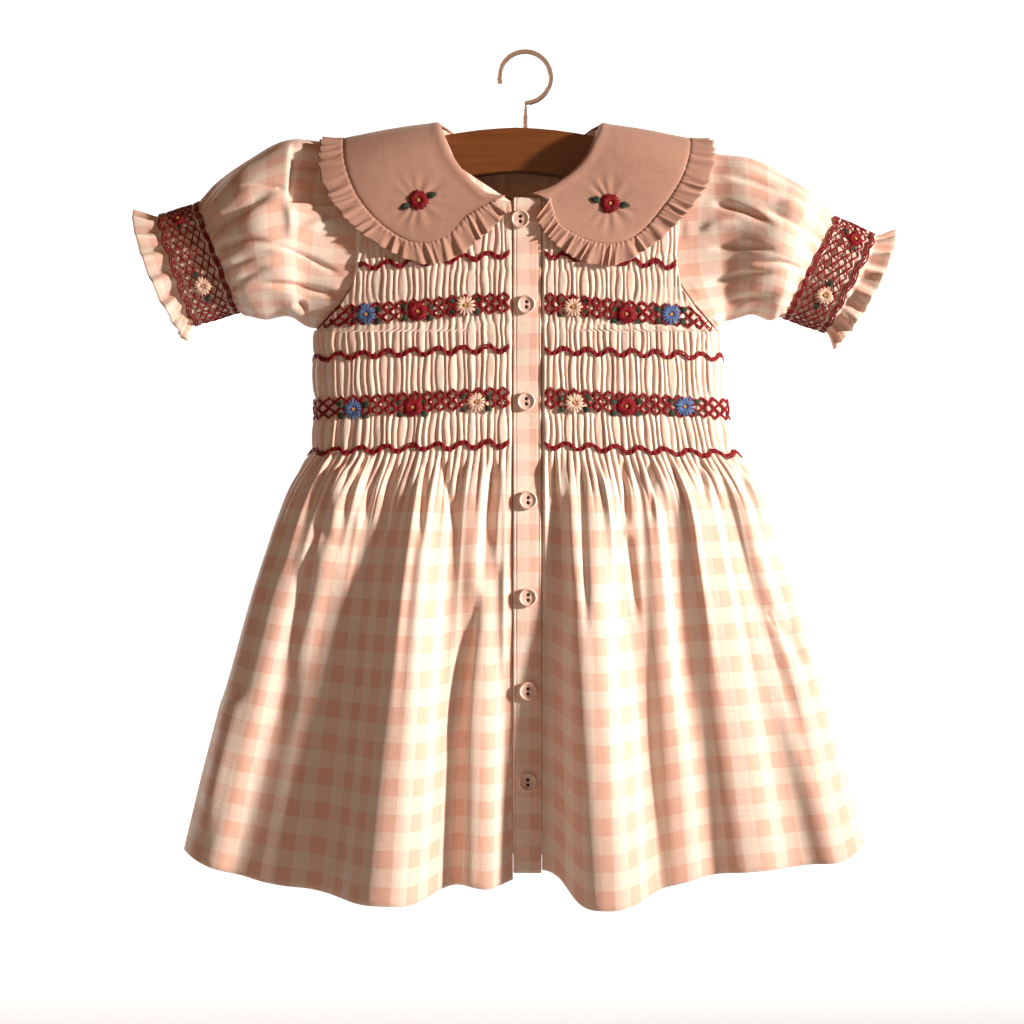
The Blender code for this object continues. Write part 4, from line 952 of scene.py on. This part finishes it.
# plain cotton of the collar: dusty pink, faint yarn streaks both ways, low crumple
def plainMaterial():
    material, tree = newMaterial("plainPinkCotton")
    uv = addNode(tree, "ShaderNodeUVMap", {"uv_map": "cloth"}).outputs[0]
    axes = addNode(tree, "ShaderNodeSeparateXYZ", i0=uv)
    slub = yarnSlubs(tree, uv, 0.06, 2.6)
    base = mixColour(tree, slub, (0.40, 0.225, 0.165, 1), (0.49, 0.29, 0.215, 1))
    height = mathNode(tree, "ADD", weaveHeight(tree, axes, 2.8), slub)
    crumple = noiseAt(tree, uv, 0.09, 3.0, Roughness=0.5)
    height = mathNode(tree, "MULTIPLY_ADD", crumple, 8.0, height)
    return finishMaterial(material, base, (0.35, 0.00025, height), {
        "Roughness": 0.85, "Sheen Weight": 0.2, "Sheen Roughness": 0.5, "Specular IOR Level": 0.25})


plainCotton = plainMaterial()
leafSheets = {sideName: makeCollarLeaf(sideName) for sideName in ("left", "right")}
for sideName in ("left", "right"):
    makeCollarFrill(sideName)
print("collar made")


# stranded cotton: one colour with a twist of fine yarns along each stitch, satin sheen; painted shade darkens
# the twist's grooves
def threadMaterial(name, colour, dark):
    material, tree = newMaterial(name)
    uv = addNode(tree, "ShaderNodeUVMap", {"uv_map": "cloth"}).outputs[0]
    axes = addNode(tree, "ShaderNodeSeparateXYZ", i0=uv)
    slant = mathNode(tree, "ADD", mathNode(tree, "MULTIPLY", axes.outputs[0], 1.6),
                     mathNode(tree, "MULTIPLY", axes.outputs[1], 3.0))
    twist = mathNode(tree, "SINE", mathNode(tree, "MULTIPLY", slant, math.pi))
    twist = mathNode(tree, "ABSOLUTE", twist)
    patchy = noiseAt(tree, objectPlace(tree), 420.0, 2.0)
    # the darker tone goes into random patches, as tone, and into the grooves of the twist, as painted shade
    share = mathNode(tree, "MULTIPLY_ADD", patchy, 0.8, mathNode(tree, "MULTIPLY", twist, 0.4))
    base = mixColour(tree, share, (*dark, 1), (*colour, 1))
    return finishMaterial(material, base, (0.6, 0.00015, twist),
                          {"Roughness": 0.6, "Specular IOR Level": 0.25})


threadColours = {
    "red": threadMaterial("redThread", (0.27, 0.004, 0.012), (0.12, 0.002, 0.006)),
    "blue": threadMaterial("blueThread", (0.12, 0.22, 0.47), (0.05, 0.10, 0.25)),
    "cream": threadMaterial("creamThread", (0.90, 0.68, 0.52), (0.70, 0.48, 0.36)),
    "green": threadMaterial("greenThread", (0.045, 0.075, 0.045), (0.015, 0.028, 0.018)),
    "gold": threadMaterial("goldThread", (0.62, 0.38, 0.12), (0.35, 0.18, 0.05)),
}


# stitches as short tubes along start + (end - start) t + normal * arch * sin(pi t), thinner to both ends
def stitchGrids(starts, ends, normals, radius=0.42, arch=0.5, steps=5, sides=5):
    t = np.linspace(0.0, 1.0, steps)[None, :, None, None]
    turn = np.arange(sides) * 2 * math.pi / sides
    along = (ends - starts)[:, None, None, :]
    normal = normals[:, None, None, :]
    across = unit(np.cross(along, normal))
    radius = np.asarray(radius, dtype=float).reshape(-1, 1, 1, 1)
    arch = np.asarray(arch, dtype=float).reshape(-1, 1, 1, 1)
    spread = radius * (0.30 + 0.70 * np.sin(math.pi * t) ** 0.45)
    ring = across * np.cos(turn)[None, None, :, None] + normal * np.sin(turn)[None, None, :, None]
    return starts[:, None, None, :] + along * t + normal * arch * np.sin(math.pi * t) + ring * spread


# one mesh from many equal tubes, with a flat cap at both ends
def tubesObject(name, tubes, material):
    count, steps, sides = tubes.shape[:3]
    base = (np.arange(count) * steps * sides)[:, None, None]
    r, c = np.meshgrid(np.arange(steps - 1), np.arange(sides), indexing="ij")
    here = r * sides + c
    beside = r * sides + (c + 1) % sides
    quads = np.stack([here, here + sides, beside + sides, beside], axis=-1)
    quads = (quads.reshape(1, -1, 4) + base).reshape(-1, 4)
    first = (np.arange(sides)[None, :] + base[:, :, 0]).reshape(-1, sides)
    last = (np.arange(sides)[::-1][None, :] + (steps - 1) * sides + base[:, :, 0]).reshape(-1, sides)
    loops = np.concatenate([quads.ravel(), first.ravel(), last.ravel()])
    sizes = np.concatenate([np.full(len(quads), 4), np.full(2 * count, sides)])
    u = np.broadcast_to(np.linspace(0, 4.0, steps)[None, :, None], (count, steps, sides))
    v = np.broadcast_to((np.arange(sides) / sides)[None, None, :], (count, steps, sides))
    uv = np.stack([u, v], axis=-1).reshape(-1, 2)[loops]
    return meshObject(name, tubes.reshape(-1, 3), loops, sizes, uv, material)


# one entry for each row of smocking: drop at the side and at the placket, kind, left and right
smocking = {
    "zigzags": {"left": [(133.0, 122.5), (183.5, 178.0), (240.0, 234.5)],
                "right": [(132.0, 123.0), (183.0, 179.5), (242.0, 235.5)]},
    "trellises": {"left": [(161.0, 151.0), (214.0, 207.0)], "right": [(162.0, 151.5), (214.5, 207.5)]},
    "period": 4,                  # pleats to one zigzag
    "zigzagHeight": 3.0, "zigzagStrands": (-0.95, 0.0, 0.95),
    "trellisHeight": 2.9, "trellisStrands": (-0.4, 0.4), "trellisOut": 3.0,
    "radius": 0.54, "lift": 0.3,
}


# a line of stitches from crest to crest: drop = row + height * triangle(i / period) + strand offset
def stitchLine(sheet, count, firstDrop, lastDrop, height, phase, offset, chance):
    i = np.arange(count)
    f = (i + 0.5) / count
    row = firstDrop + (lastDrop - firstDrop) * f
    saw = 2 * np.abs(((i + phase) / smocking["period"]) % 1.0 - 0.5) * 2 - 1
    drop = row + height * saw + offset + chance.uniform(-0.3, 0.3, count)
    points, normals = onSheet(sheet, f, drop, np.full(count, smocking["lift"]))
    along = points[1:] - points[:-1]
    tilt = np.array([0.0, 0.0, 1.0]) * 0.28
    starts = points[:-1] - along * 0.12 + tilt
    ends = points[1:] + along * 0.12 - tilt
    cloth = sheet[6][np.searchsorted(sheet[3], drop[:-1])]
    inside = (f[:-1] > cloth.min(axis=1)) & (f[:-1] < cloth.max(axis=1)) & (f[1:] < cloth.max(axis=1))
    return starts[inside], ends[inside], unit(normals[:-1] + normals[1:])[inside]


# several lots of stitches as one
def joinStitches(parts):
    return [np.concatenate([part[k] for part in parts]) for k in range(3)]


for sideName in ("left", "right"):
    chance = np.random.default_rng(81 if sideName == "left" else 82)
    sheet = fronts[sideName]
    parts = []
    for sideDrop, placketDrop in smocking["zigzags"][sideName]:
        for offset in smocking["zigzagStrands"]:
            parts.append(stitchLine(sheet, front["pleats"], sideDrop, placketDrop, smocking["zigzagHeight"],
                                    0.4, offset, chance))
    for sideDrop, placketDrop in smocking["trellises"][sideName]:
        for level, phase in ((-1, 0.0), (-1, 2.0), (1, 0.0), (1, 2.0)):
            out = level * smocking["trellisOut"]
            for offset in smocking["trellisStrands"]:
                parts.append(stitchLine(sheet, front["pleats"], sideDrop + out, placketDrop + out,
                                        smocking["trellisHeight"], phase, offset, chance))
    starts, ends, normals = joinStitches(parts)
    stitches = tubesObject("smocking_stitches_" + sideName, stitchGrids(
        starts, ends, normals, radius=smocking["radius"], arch=0.35), threadColours["red"])
    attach(stitches, "root")
print("smocking made")


embroidery = {
    "radius": {"blue": 6.6, "red": 6.4, "cream": 6.6}, "petals": {"blue": 15, "red": 19, "cream": 15},
    "threadRadius": 0.36, "leafLength": 5.6, "leafWidth": 4.2,
    "bodice": [("blue_upper_left", -94, 158), ("red_upper_left", -63.5, 156.5),
               ("cream_upper_left", -35.5, 153), ("cream_upper_right", 28, 154),
               ("red_upper_right", 59.5, 158), ("blue_upper_right", 86, 158),
               ("blue_lower_left", -101.5, 214), ("red_lower_left", -66.5, 213),
               ("cream_lower_left", -29, 210), ("cream_lower_right", 29, 210.5),
               ("red_lower_right", 59.5, 212.5), ("blue_lower_right", 94, 212.5)],
}


# nearest front-facing point of a sheet to x and drop, lifted to the highest cloth within reach
def seatOn(sheet, x, drop, reach):
    grid = sheet[0].reshape(-1, 3)
    normals = sheet[2].reshape(-1, 3)
    away = np.hypot(grid[:, 0] - x, -grid[:, 2] - drop)
    near = (away < reach) & (normals[:, 1] < -0.1)
    normal = unit(normals[near].mean(axis=0))
    middle = np.array([x, grid[near, 1].mean(), -drop])
    height = np.percentile((grid[near] - middle) @ normal, 92)
    return middle + normal * height, normal


# a direction to the right and one at right angles to it, both square to the normal
def flatFrame(normal):
    right = unit(np.cross(np.array([0.0, 0.0, 1.0]), normal))
    return (right if right[0] > 0 else -right), np.cross(normal, right)


# a flower of straight stitches: each petal is 3 threads from the centre out to a rounded tip
def flowerStitches(place, normal, radius, petals, chance):
    right, up = flatFrame(normal)
    petal = np.repeat(np.arange(petals), 3)
    finger = np.tile([-1.0, 0.0, 1.0], petals)
    angle = 2 * math.pi * petal / petals + chance.uniform(-0.06, 0.06, petals)[petal]
    length = radius * chance.uniform(0.92, 1.06, petals)[petal] * (1.0 - 0.07 * np.abs(finger))
    spread = finger * 0.62 / radius
    direction = np.cos(angle + spread)[:, None] * right + np.sin(angle + spread)[:, None] * up
    rootSide = np.cos(angle)[:, None] * right + np.sin(angle)[:, None] * up
    starts = place + rootSide * 0.9 + normal * 0.55
    ends = place + direction * length[:, None] + normal * 0.15
    return starts, ends, np.broadcast_to(normal, starts.shape)


# a leaf in satin stitch: threads fan from the stem, longest in the middle
def leafStitches(place, normal, angle, length, width, threads=7):
    right, up = flatFrame(normal)
    along = math.cos(angle) * right + math.sin(angle) * up
    side = -math.sin(angle) * right + math.cos(angle) * up
    k = np.linspace(-1.0, 1.0, threads)[:, None]
    starts = place + along * (0.4 + 0.9 * np.abs(k)) + side * k * 0.25 * width + normal * 0.3
    ends = place + along * length * (1.0 - 0.42 * k ** 2) + side * k * 0.5 * width + normal * 0.1
    return starts, ends, np.broadcast_to(normal, starts.shape)


# a French knot: a tube that winds twice round a small ring
def knotTube(place, normal, radius=0.75, thread=0.34):
    right, up = flatFrame(normal)
    t = np.linspace(0.0, 4 * math.pi, 26)[:, None]
    ring = radius * (0.75 + 0.25 * np.cos(t * 0.5))
    path = place + normal * (0.9 + 0.3 * np.sin(t * 0.5)) + (np.cos(t) * right + np.sin(t) * up) * ring
    outward = np.cos(t) * right + np.sin(t) * up
    turn = np.arange(6) * math.pi / 3
    return (path[:, None, :] + (outward[:, None, :] * np.cos(turn)[None, :, None]
                                + normal * np.sin(turn)[None, :, None]) * thread)[None]


# a flower on a sheet at x and drop: its petals, a gold knot in the middle and green leaves at its rim
def sewFlower(name, colour, sheet, x, drop, node=None, leafAngles=(0.35, -0.5, math.pi - 0.35, math.pi + 0.5),
              scale=1.0, lengths=1.0, reach=4.5):
    chance = np.random.default_rng(abs(int(x * 10)) + int(drop * 10))
    place, normal = seatOn(sheet, x, drop, reach)
    radius = embroidery["radius"][colour] * scale
    starts, ends, normals = flowerStitches(place, normal, radius, embroidery["petals"][colour], chance)
    thread = embroidery["threadRadius"] * (1.15 if colour == "red" else 1.0)
    flower = tubesObject("stitched_flower_" + name,
                         stitchGrids(starts, ends, normals, radius=thread, arch=0.7), threadColours[colour])
    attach(flower, "root")
    if node:
        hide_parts(node)
    knot = tubesObject("flower_knot_" + name, knotTube(place, normal), threadColours["gold"])
    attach(knot, "root")
    leaves = []
    right, up = flatFrame(normal)
    for angle in leafAngles:
        out = (math.cos(angle) * right + math.sin(angle) * up) * (radius * 0.82)
        foot, footNormal = seatOn(sheet, (place + out)[0], -(place + out)[2], 2.2)
        leaves.append(leafStitches(foot, footNormal, angle, embroidery["leafLength"] * lengths,
                                   embroidery["leafWidth"] * scale))
    starts, ends, normals = joinStitches(leaves)
    leaf = tubesObject("leaf_stitches_" + name, stitchGrids(starts, ends, normals, radius=0.40, arch=0.45),
                       threadColours["green"])
    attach(leaf, "root")


for name, x, drop in embroidery["bodice"]:
    colour, _, sideName = name.split("_")
    sewFlower(name, colour, fronts[sideName], x, drop, "flower_" + name)
for sideName, angles in (("left", (0.35, math.pi + 0.45)), ("right", (-0.1, math.pi - 0.25))):
    x, drop = collar["flowers"][sideName]
    sewFlower("collar_" + sideName, "red", leafSheets[sideName], x, drop, "flower_red_collar_" + sideName,
              leafAngles=angles, scale=0.98, lengths=1.25)
print("flowers made")


# point of a sleeve ring from station s and turn a (0 to 1 round from the top by the front)
def onSleeve(sheet, s, a, lift):
    grid, normals, stations = sheet[0], sheet[2], sheet[3]
    cols = grid.shape[1]
    row = np.interp(s, stations, np.arange(len(stations)))
    col = (np.asarray(a) % 1.0) * cols
    r = np.minimum(row.astype(int), len(grid) - 2)
    c = col.astype(int) % cols
    fr, fc = (row - r)[..., None], (col - np.floor(col))[..., None]
    nextC = (c + 1) % cols

    def blend(values):
        return ((values[r, c] * (1 - fc) + values[r, nextC] * fc) * (1 - fr)
                + (values[r + 1, c] * (1 - fc) + values[r + 1, nextC] * fc) * fr)

    normal = unit(blend(normals))
    return blend(grid) + normal * lift, normal


# one entry per line of stitches round the band: station, zigzag height in stations, start of the zigzag
bandRows = [(5.02, 0.05, 0.0), (5.12, 0.05, 0.0), (5.22, 0.05, 0.0), (5.50, 0.15, 0.0), (5.52, 0.15, 1.0),
            (5.80, 0.15, 1.0), (5.82, 0.15, 0.0), (6.12, 0.15, 0.0), (6.14, 0.15, 1.0), (6.42, 0.15, 1.0),
            (6.44, 0.15, 0.0), (6.74, 0.06, 0.0), (6.84, 0.06, 0.0), (6.94, 0.06, 0.0)]


# lines round the band: s = station + height * triangle(i / 2), a stitch from crest to crest of the pleats
def bandStitches(sheet, chance):
    parts = []
    count = sleeves["pleats"]
    i = np.arange(count + 1)
    for station, height, phase in bandRows:
        wave = 2 * np.abs(((i + phase) / 2.0) % 1.0 - 0.5) * 2 - 1
        slow = 0.05 * np.sin(2 * math.pi * i / count * 3.0)
        s = station + height * wave + slow + chance.uniform(-0.012, 0.012, count + 1)
        s[-1] = s[0]
        points, normals = onSleeve(sheet, s, (i + 0.5) / count, 0.3)
        along = points[1:] - points[:-1]
        parts.append((points[:-1] - along * 0.1, points[1:] + along * 0.1, unit(normals[:-1] + normals[1:])))
    return joinStitches(parts)


for sideName in ("left", "right"):
    chance = np.random.default_rng(91 if sideName == "left" else 92)
    starts, ends, normals = bandStitches(sleeveSheets[sideName], chance)
    stitches = tubesObject("band_stitches_" + sideName, stitchGrids(
        starts, ends, normals, radius=0.50, arch=0.35), threadColours["red"])
    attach(stitches, "root")
# cream and red flowers with green leaves on both bands
for colour, sideName, x, drop, angles, scale, reach in (
        ("cream", "left", -191.5, 140.5, (2.1, -1.2), 0.92, 3.5),
        ("red", "left", -206.5, 100.5, (-1.3,), 0.62, 3.0),
        ("cream", "right", 178.0, 146.0, (1.2, -2.2), 0.92, 3.5),
        ("red", "right", 196.5, 112.5, (-1.9, 2.4), 0.75, 3.0)):
    sewFlower("band_%s_%s" % (colour, sideName), colour, sleeveSheets[sideName], x, drop, leafAngles=angles,
              scale=scale, reach=reach)
print("bands made")


buttons = {
    "places": [(-3.0, 102), (0.5, 152.5), (0.5, 209.5), (1.5, 268), (1.5, 325), (1.5, 380), (1.5, 433)],
    "radius": 5.6, "thick": 2.4, "hole": 0.85, "holeOffset": 1.5, "sides": 36,
    # turned profile from the underside's middle to the rim and in to the dish: shares of radius and thickness
    "profile": [(0.0, 0.0), (0.55, 0.0), (0.86, 0.10), (0.97, 0.30), (1.0, 0.55), (0.97, 0.82), (0.90, 0.98),
                (0.83, 1.0), (0.76, 0.90), (0.70, 0.72), (0.58, 0.66), (0.35, 0.62)],
}


# pearl: a cloudy mix of two tones under a thin clear coat, with fine scratches as bump
def buttonMaterial():
    material, tree = newMaterial("pearlButton")
    place = objectPlace(tree)
    cloudy = noiseAt(tree, place, 90.0, 4.0, Roughness=0.6, Distortion=1.5)
    base = mixColour(tree, cloudy, (0.62, 0.40, 0.32, 1), (0.86, 0.68, 0.58, 1))
    scratches = noiseAt(tree, place, 600.0, 2.0)
    return finishMaterial(material, base, (0.08, 0.0001, scratches),
                          {"Roughness": 0.28, "Coat Weight": 0.4, "Coat Roughness": 0.15})


# a disc turned from the profile; two round holes are wells, each filled by a near-black plug that is thread
# and painted shade
def makeButton(number, x, drop):
    place, normal = seatOn(placketSheet, x, drop, 4.0)
    right, up = flatFrame(normal)
    place = place + normal * 0.35
    profile = np.array(buttons["profile"])
    at = np.linspace(0, len(profile) - 1, 32)
    turned = smoothCurve(at, np.arange(len(profile)), profile)
    turned[0, 0] = 0.02
    turned[:, 0] = np.clip(turned[:, 0], 0.02, 1.0)
    inner = np.linspace(turned[-1, 0], 0.02, 12)[1:]
    turned = np.concatenate([turned, np.stack([inner, np.full(11, turned[-1, 1])], axis=1)])
    turn = np.arange(buttons["sides"]) * 2 * math.pi / buttons["sides"]
    r = turned[:, 0:1] * buttons["radius"]
    h = turned[:, 1:2] * buttons["thick"] + 0 * turn[None, :]
    localX, localY = r * np.cos(turn), r * np.sin(turn)
    top = (np.arange(len(turned)) > 22)[:, None]
    for sign in (-1, 1):
        away = np.hypot(localX, localY - sign * buttons["holeOffset"])
        h = h - 1.3 * np.clip((buttons["hole"] + 0.25 - away) / 0.35, 0.0, 1.0) * top
    grid = place + localX[:, :, None] * right + localY[:, :, None] * up + h[:, :, None] * normal
    centre = place + normal * buttons["thick"] / 2
    disc = sheetObject("sewn_button_%d" % number, grid, np.stack([localX, localY], axis=-1), pearl,
                       grid - centre, closed=True)
    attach(disc, "root")
    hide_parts("button_%d" % number)
    level = place + normal * (buttons["thick"] * 0.62)
    # near-black plugs fill both holes: the thread, and painted shade in the holes
    feet = np.array([level + up * sign * buttons["holeOffset"] - normal * 0.5 for sign in (-1, 1)])
    plugs = stitchGrids(feet, feet + normal * 0.58, np.array([up, up]), radius=buttons["hole"], arch=0.0,
                        steps=6, sides=12)
    thread = tubesObject("button_thread_%d" % number, plugs, holeThreadAndShade)
    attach(thread, "root")


pearl = buttonMaterial()
holeThreadAndShade = threadMaterial("buttonThreadAndHoleShade", (0.035, 0.010, 0.008), (0.015, 0.004, 0.004))
for number, (x, drop) in enumerate(buttons["places"], start=1):
    makeButton(number, x, drop)
print("buttons made")


# wood: grain rings stretched along the bar on object coordinates, a satin varnish
def woodMaterial():
    material, tree = newMaterial("waxedWood")
    along = addNode(tree, "ShaderNodeMapping", i0=objectPlace(tree), i3=(3.0, 40.0, 40.0)).outputs[0]
    rings = addNode(tree, "ShaderNodeTexWave", {"wave_type": "BANDS", "bands_direction": "Z"}, i0=along,
                    Scale=1.4, Distortion=5.0, Detail=3.0).outputs["Fac"]
    fibre = noiseAt(tree, along, 9.0, 5.0, Roughness=0.6)
    share = mathNode(tree, "MULTIPLY_ADD", rings, 0.15, mathNode(tree, "MULTIPLY", fibre, 0.8))
    base = mixColour(tree, share, (0.11, 0.030, 0.004, 1), (0.24, 0.075, 0.012, 1))
    return finishMaterial(material, base, (0.15, 0.0002, fibre),
                          {"Roughness": 0.42, "Coat Weight": 0.25, "Coat Roughness": 0.25})


# plated wire: grey metal whose roughness and tone follow one noise
def wireMaterial():
    material, tree = newMaterial("platedWire")
    wear = noiseAt(tree, objectPlace(tree), 160.0, 4.0)
    base = mixColour(tree, wear, (0.42, 0.40, 0.37, 1), (0.62, 0.60, 0.57, 1))
    rough = mathNode(tree, "MULTIPLY_ADD", wear, 0.25, 0.18)
    tree.links.new(rough, tree.nodes["Principled BSDF"].inputs["Roughness"])
    return finishMaterial(material, base, None, {"Metallic": 1.0})


# pale woven tape: fine ribs across, frayed tone, bare
def tapeMaterial():
    material, tree = newMaterial("labelTape")
    place = objectPlace(tree)
    axes = addNode(tree, "ShaderNodeSeparateXYZ", i0=place)
    ribs = [mathNode(tree, "SINE", mathNode(tree, "MULTIPLY", axes.outputs[axis], size))
            for axis, size in ((0, 16000.0), (2, 9000.0))]
    base = mixColour(tree, noiseAt(tree, place, 240.0, 3.0), (0.62, 0.50, 0.38, 1), (0.80, 0.68, 0.54, 1))
    height = mathNode(tree, "ADD", ribs[0], ribs[1])
    return finishMaterial(material, base, (0.4, 0.0001, height), {"Roughness": 0.85})


for nodeName, material in (("hanger_bar", woodMaterial()), ("hanger_hook", wireMaterial()),
                           ("neck_label", tapeMaterial())):
    for slot in bpy.data.objects[nodeName].material_slots:
        slot.material = material
print("hanger and label finished")


# the camera looks level at the dress from the photograph's distance
cameraData = bpy.data.cameras.new("photoView")
cameraData.sensor_width = 36.0
cameraData.lens = 36.0 * view["distance"] / view["width"]
cameraData.clip_end = 50.0
camera = bpy.data.objects.new("photoView", cameraData)
camera.location = (view["middleX"] * mm, -view["distance"] * mm, -view["middleDrop"] * mm)
camera.rotation_euler = (math.radians(90), 0.0, 0.0)
bpy.context.scene.collection.objects.link(camera)
bpy.context.scene.camera = camera


# place in metres, size in metres, power in watts, colour, spread in degrees; all look at the dress's middle
lamps = {
    "target": (0.0, 0.0, -0.28),
    "keyLamp": ((2.5, -1.08, 0.35), 0.22, 3.35, (1.0, 0.86, 0.78), 24.0),
    "fillLamp": ((-0.4, -2.6, 0.2), 1.4, 0.40, (1.0, 0.46, 0.22), 40.0),
    "backLamp": ((-1.9, 2.2, 0.7), 0.8, 6.0, (1.0, 0.92, 0.84), 60.0),
}


# a round lamp turned to the target
def addLamp(name):
    place, size, power, colour, spread = lamps[name]
    lampData = bpy.data.lights.new(name, "AREA")
    lampData.shape = "DISK"
    lampData.size = size
    lampData.energy = power
    lampData.color = colour
    lampData.spread = math.radians(spread)
    lamp = bpy.data.objects.new(name, lampData)
    lamp.location = place
    lamp.rotation_euler = (Vector(lamps["target"]) - Vector(place)).to_track_quat("-Z", "Y").to_euler()
    bpy.context.scene.collection.objects.link(lamp)


for name in ("keyLamp", "fillLamp", "backLamp"):
    addLamp(name)

bpy.context.scene.view_settings.view_transform = "Standard"
# the room: a dim warm light on the dress, and pale where the camera looks past the backdrop
world = bpy.data.worlds.new("paleRoom")
bpy.context.scene.world = world
world.use_nodes = True
room = world.node_tree
dim = room.nodes["Background"]
dim.inputs[0].default_value = (1.0, 0.55, 0.32, 1.0)
dim.inputs[1].default_value = 0.12
pale = room.nodes.new("ShaderNodeBackground")
pale.inputs[0].default_value = (1.0, 0.98, 0.96, 1.0)
pale.inputs[1].default_value = 0.85
seen = room.nodes.new("ShaderNodeLightPath")
both = room.nodes.new("ShaderNodeMixShader")
room.links.new(seen.outputs["Is Camera Ray"], both.inputs[0])
room.links.new(dim.outputs[0], both.inputs[1])
room.links.new(pale.outputs[0], both.inputs[2])
room.links.new(both.outputs[0], room.nodes["World Output"].inputs[0])


# the backdrop, in mm: where it starts, its length and width, and the shares of its length where it bends up
backdrop = {"startY": -3400.0, "startZ": -900.0, "length": 11000.0, "halfWidth": 5000.0, "rows": 40,
            "bendStart": 0.52, "bendLength": 0.16}


# plain pale floor and the wall behind it, in one curved sweep that glows from behind the dress to the wall
def makeBackdrop():
    material, tree = newMaterial("paleBackdrop")
    behind = addNode(tree, "ShaderNodeSeparateXYZ", i0=objectPlace(tree)).outputs["Y"]
    glow = addNode(tree, "ShaderNodeMapRange", i0=behind, i1=0.9, i2=2.0, i3=0.10, i4=0.92).outputs[0]
    shader = tree.nodes["Principled BSDF"]
    tree.links.new(glow, shader.inputs["Emission Strength"])
    shader.inputs["Base Color"].default_value = (0.90, 0.90, 0.90, 1.0)
    shader.inputs["Roughness"].default_value = 0.9
    shader.inputs["Emission Color"].default_value = (1.0, 1.0, 1.0, 1.0)
    rows = backdrop["rows"]
    s = np.linspace(0.0, 1.0, rows)
    bend = np.clip((s - backdrop["bendStart"]) / backdrop["bendLength"], 0.0, 1.0) * math.pi / 2
    step = backdrop["length"] / (rows - 1)
    y = backdrop["startY"] + np.concatenate([[0.0], np.cumsum(np.cos(bend[1:]) * step)])
    z = backdrop["startZ"] + np.concatenate([[0.0], np.cumsum(np.sin(bend[1:]) * step)])
    x = np.linspace(-backdrop["halfWidth"], backdrop["halfWidth"], 3)
    grid = np.stack(np.broadcast_arrays(x[None, :], y[:, None], z[:, None]), axis=-1)
    sheetObject("pale_backdrop", grid, grid[:, :, :2], material, (0.0, -1.0, 1.0))


makeBackdrop()
print("stage made")
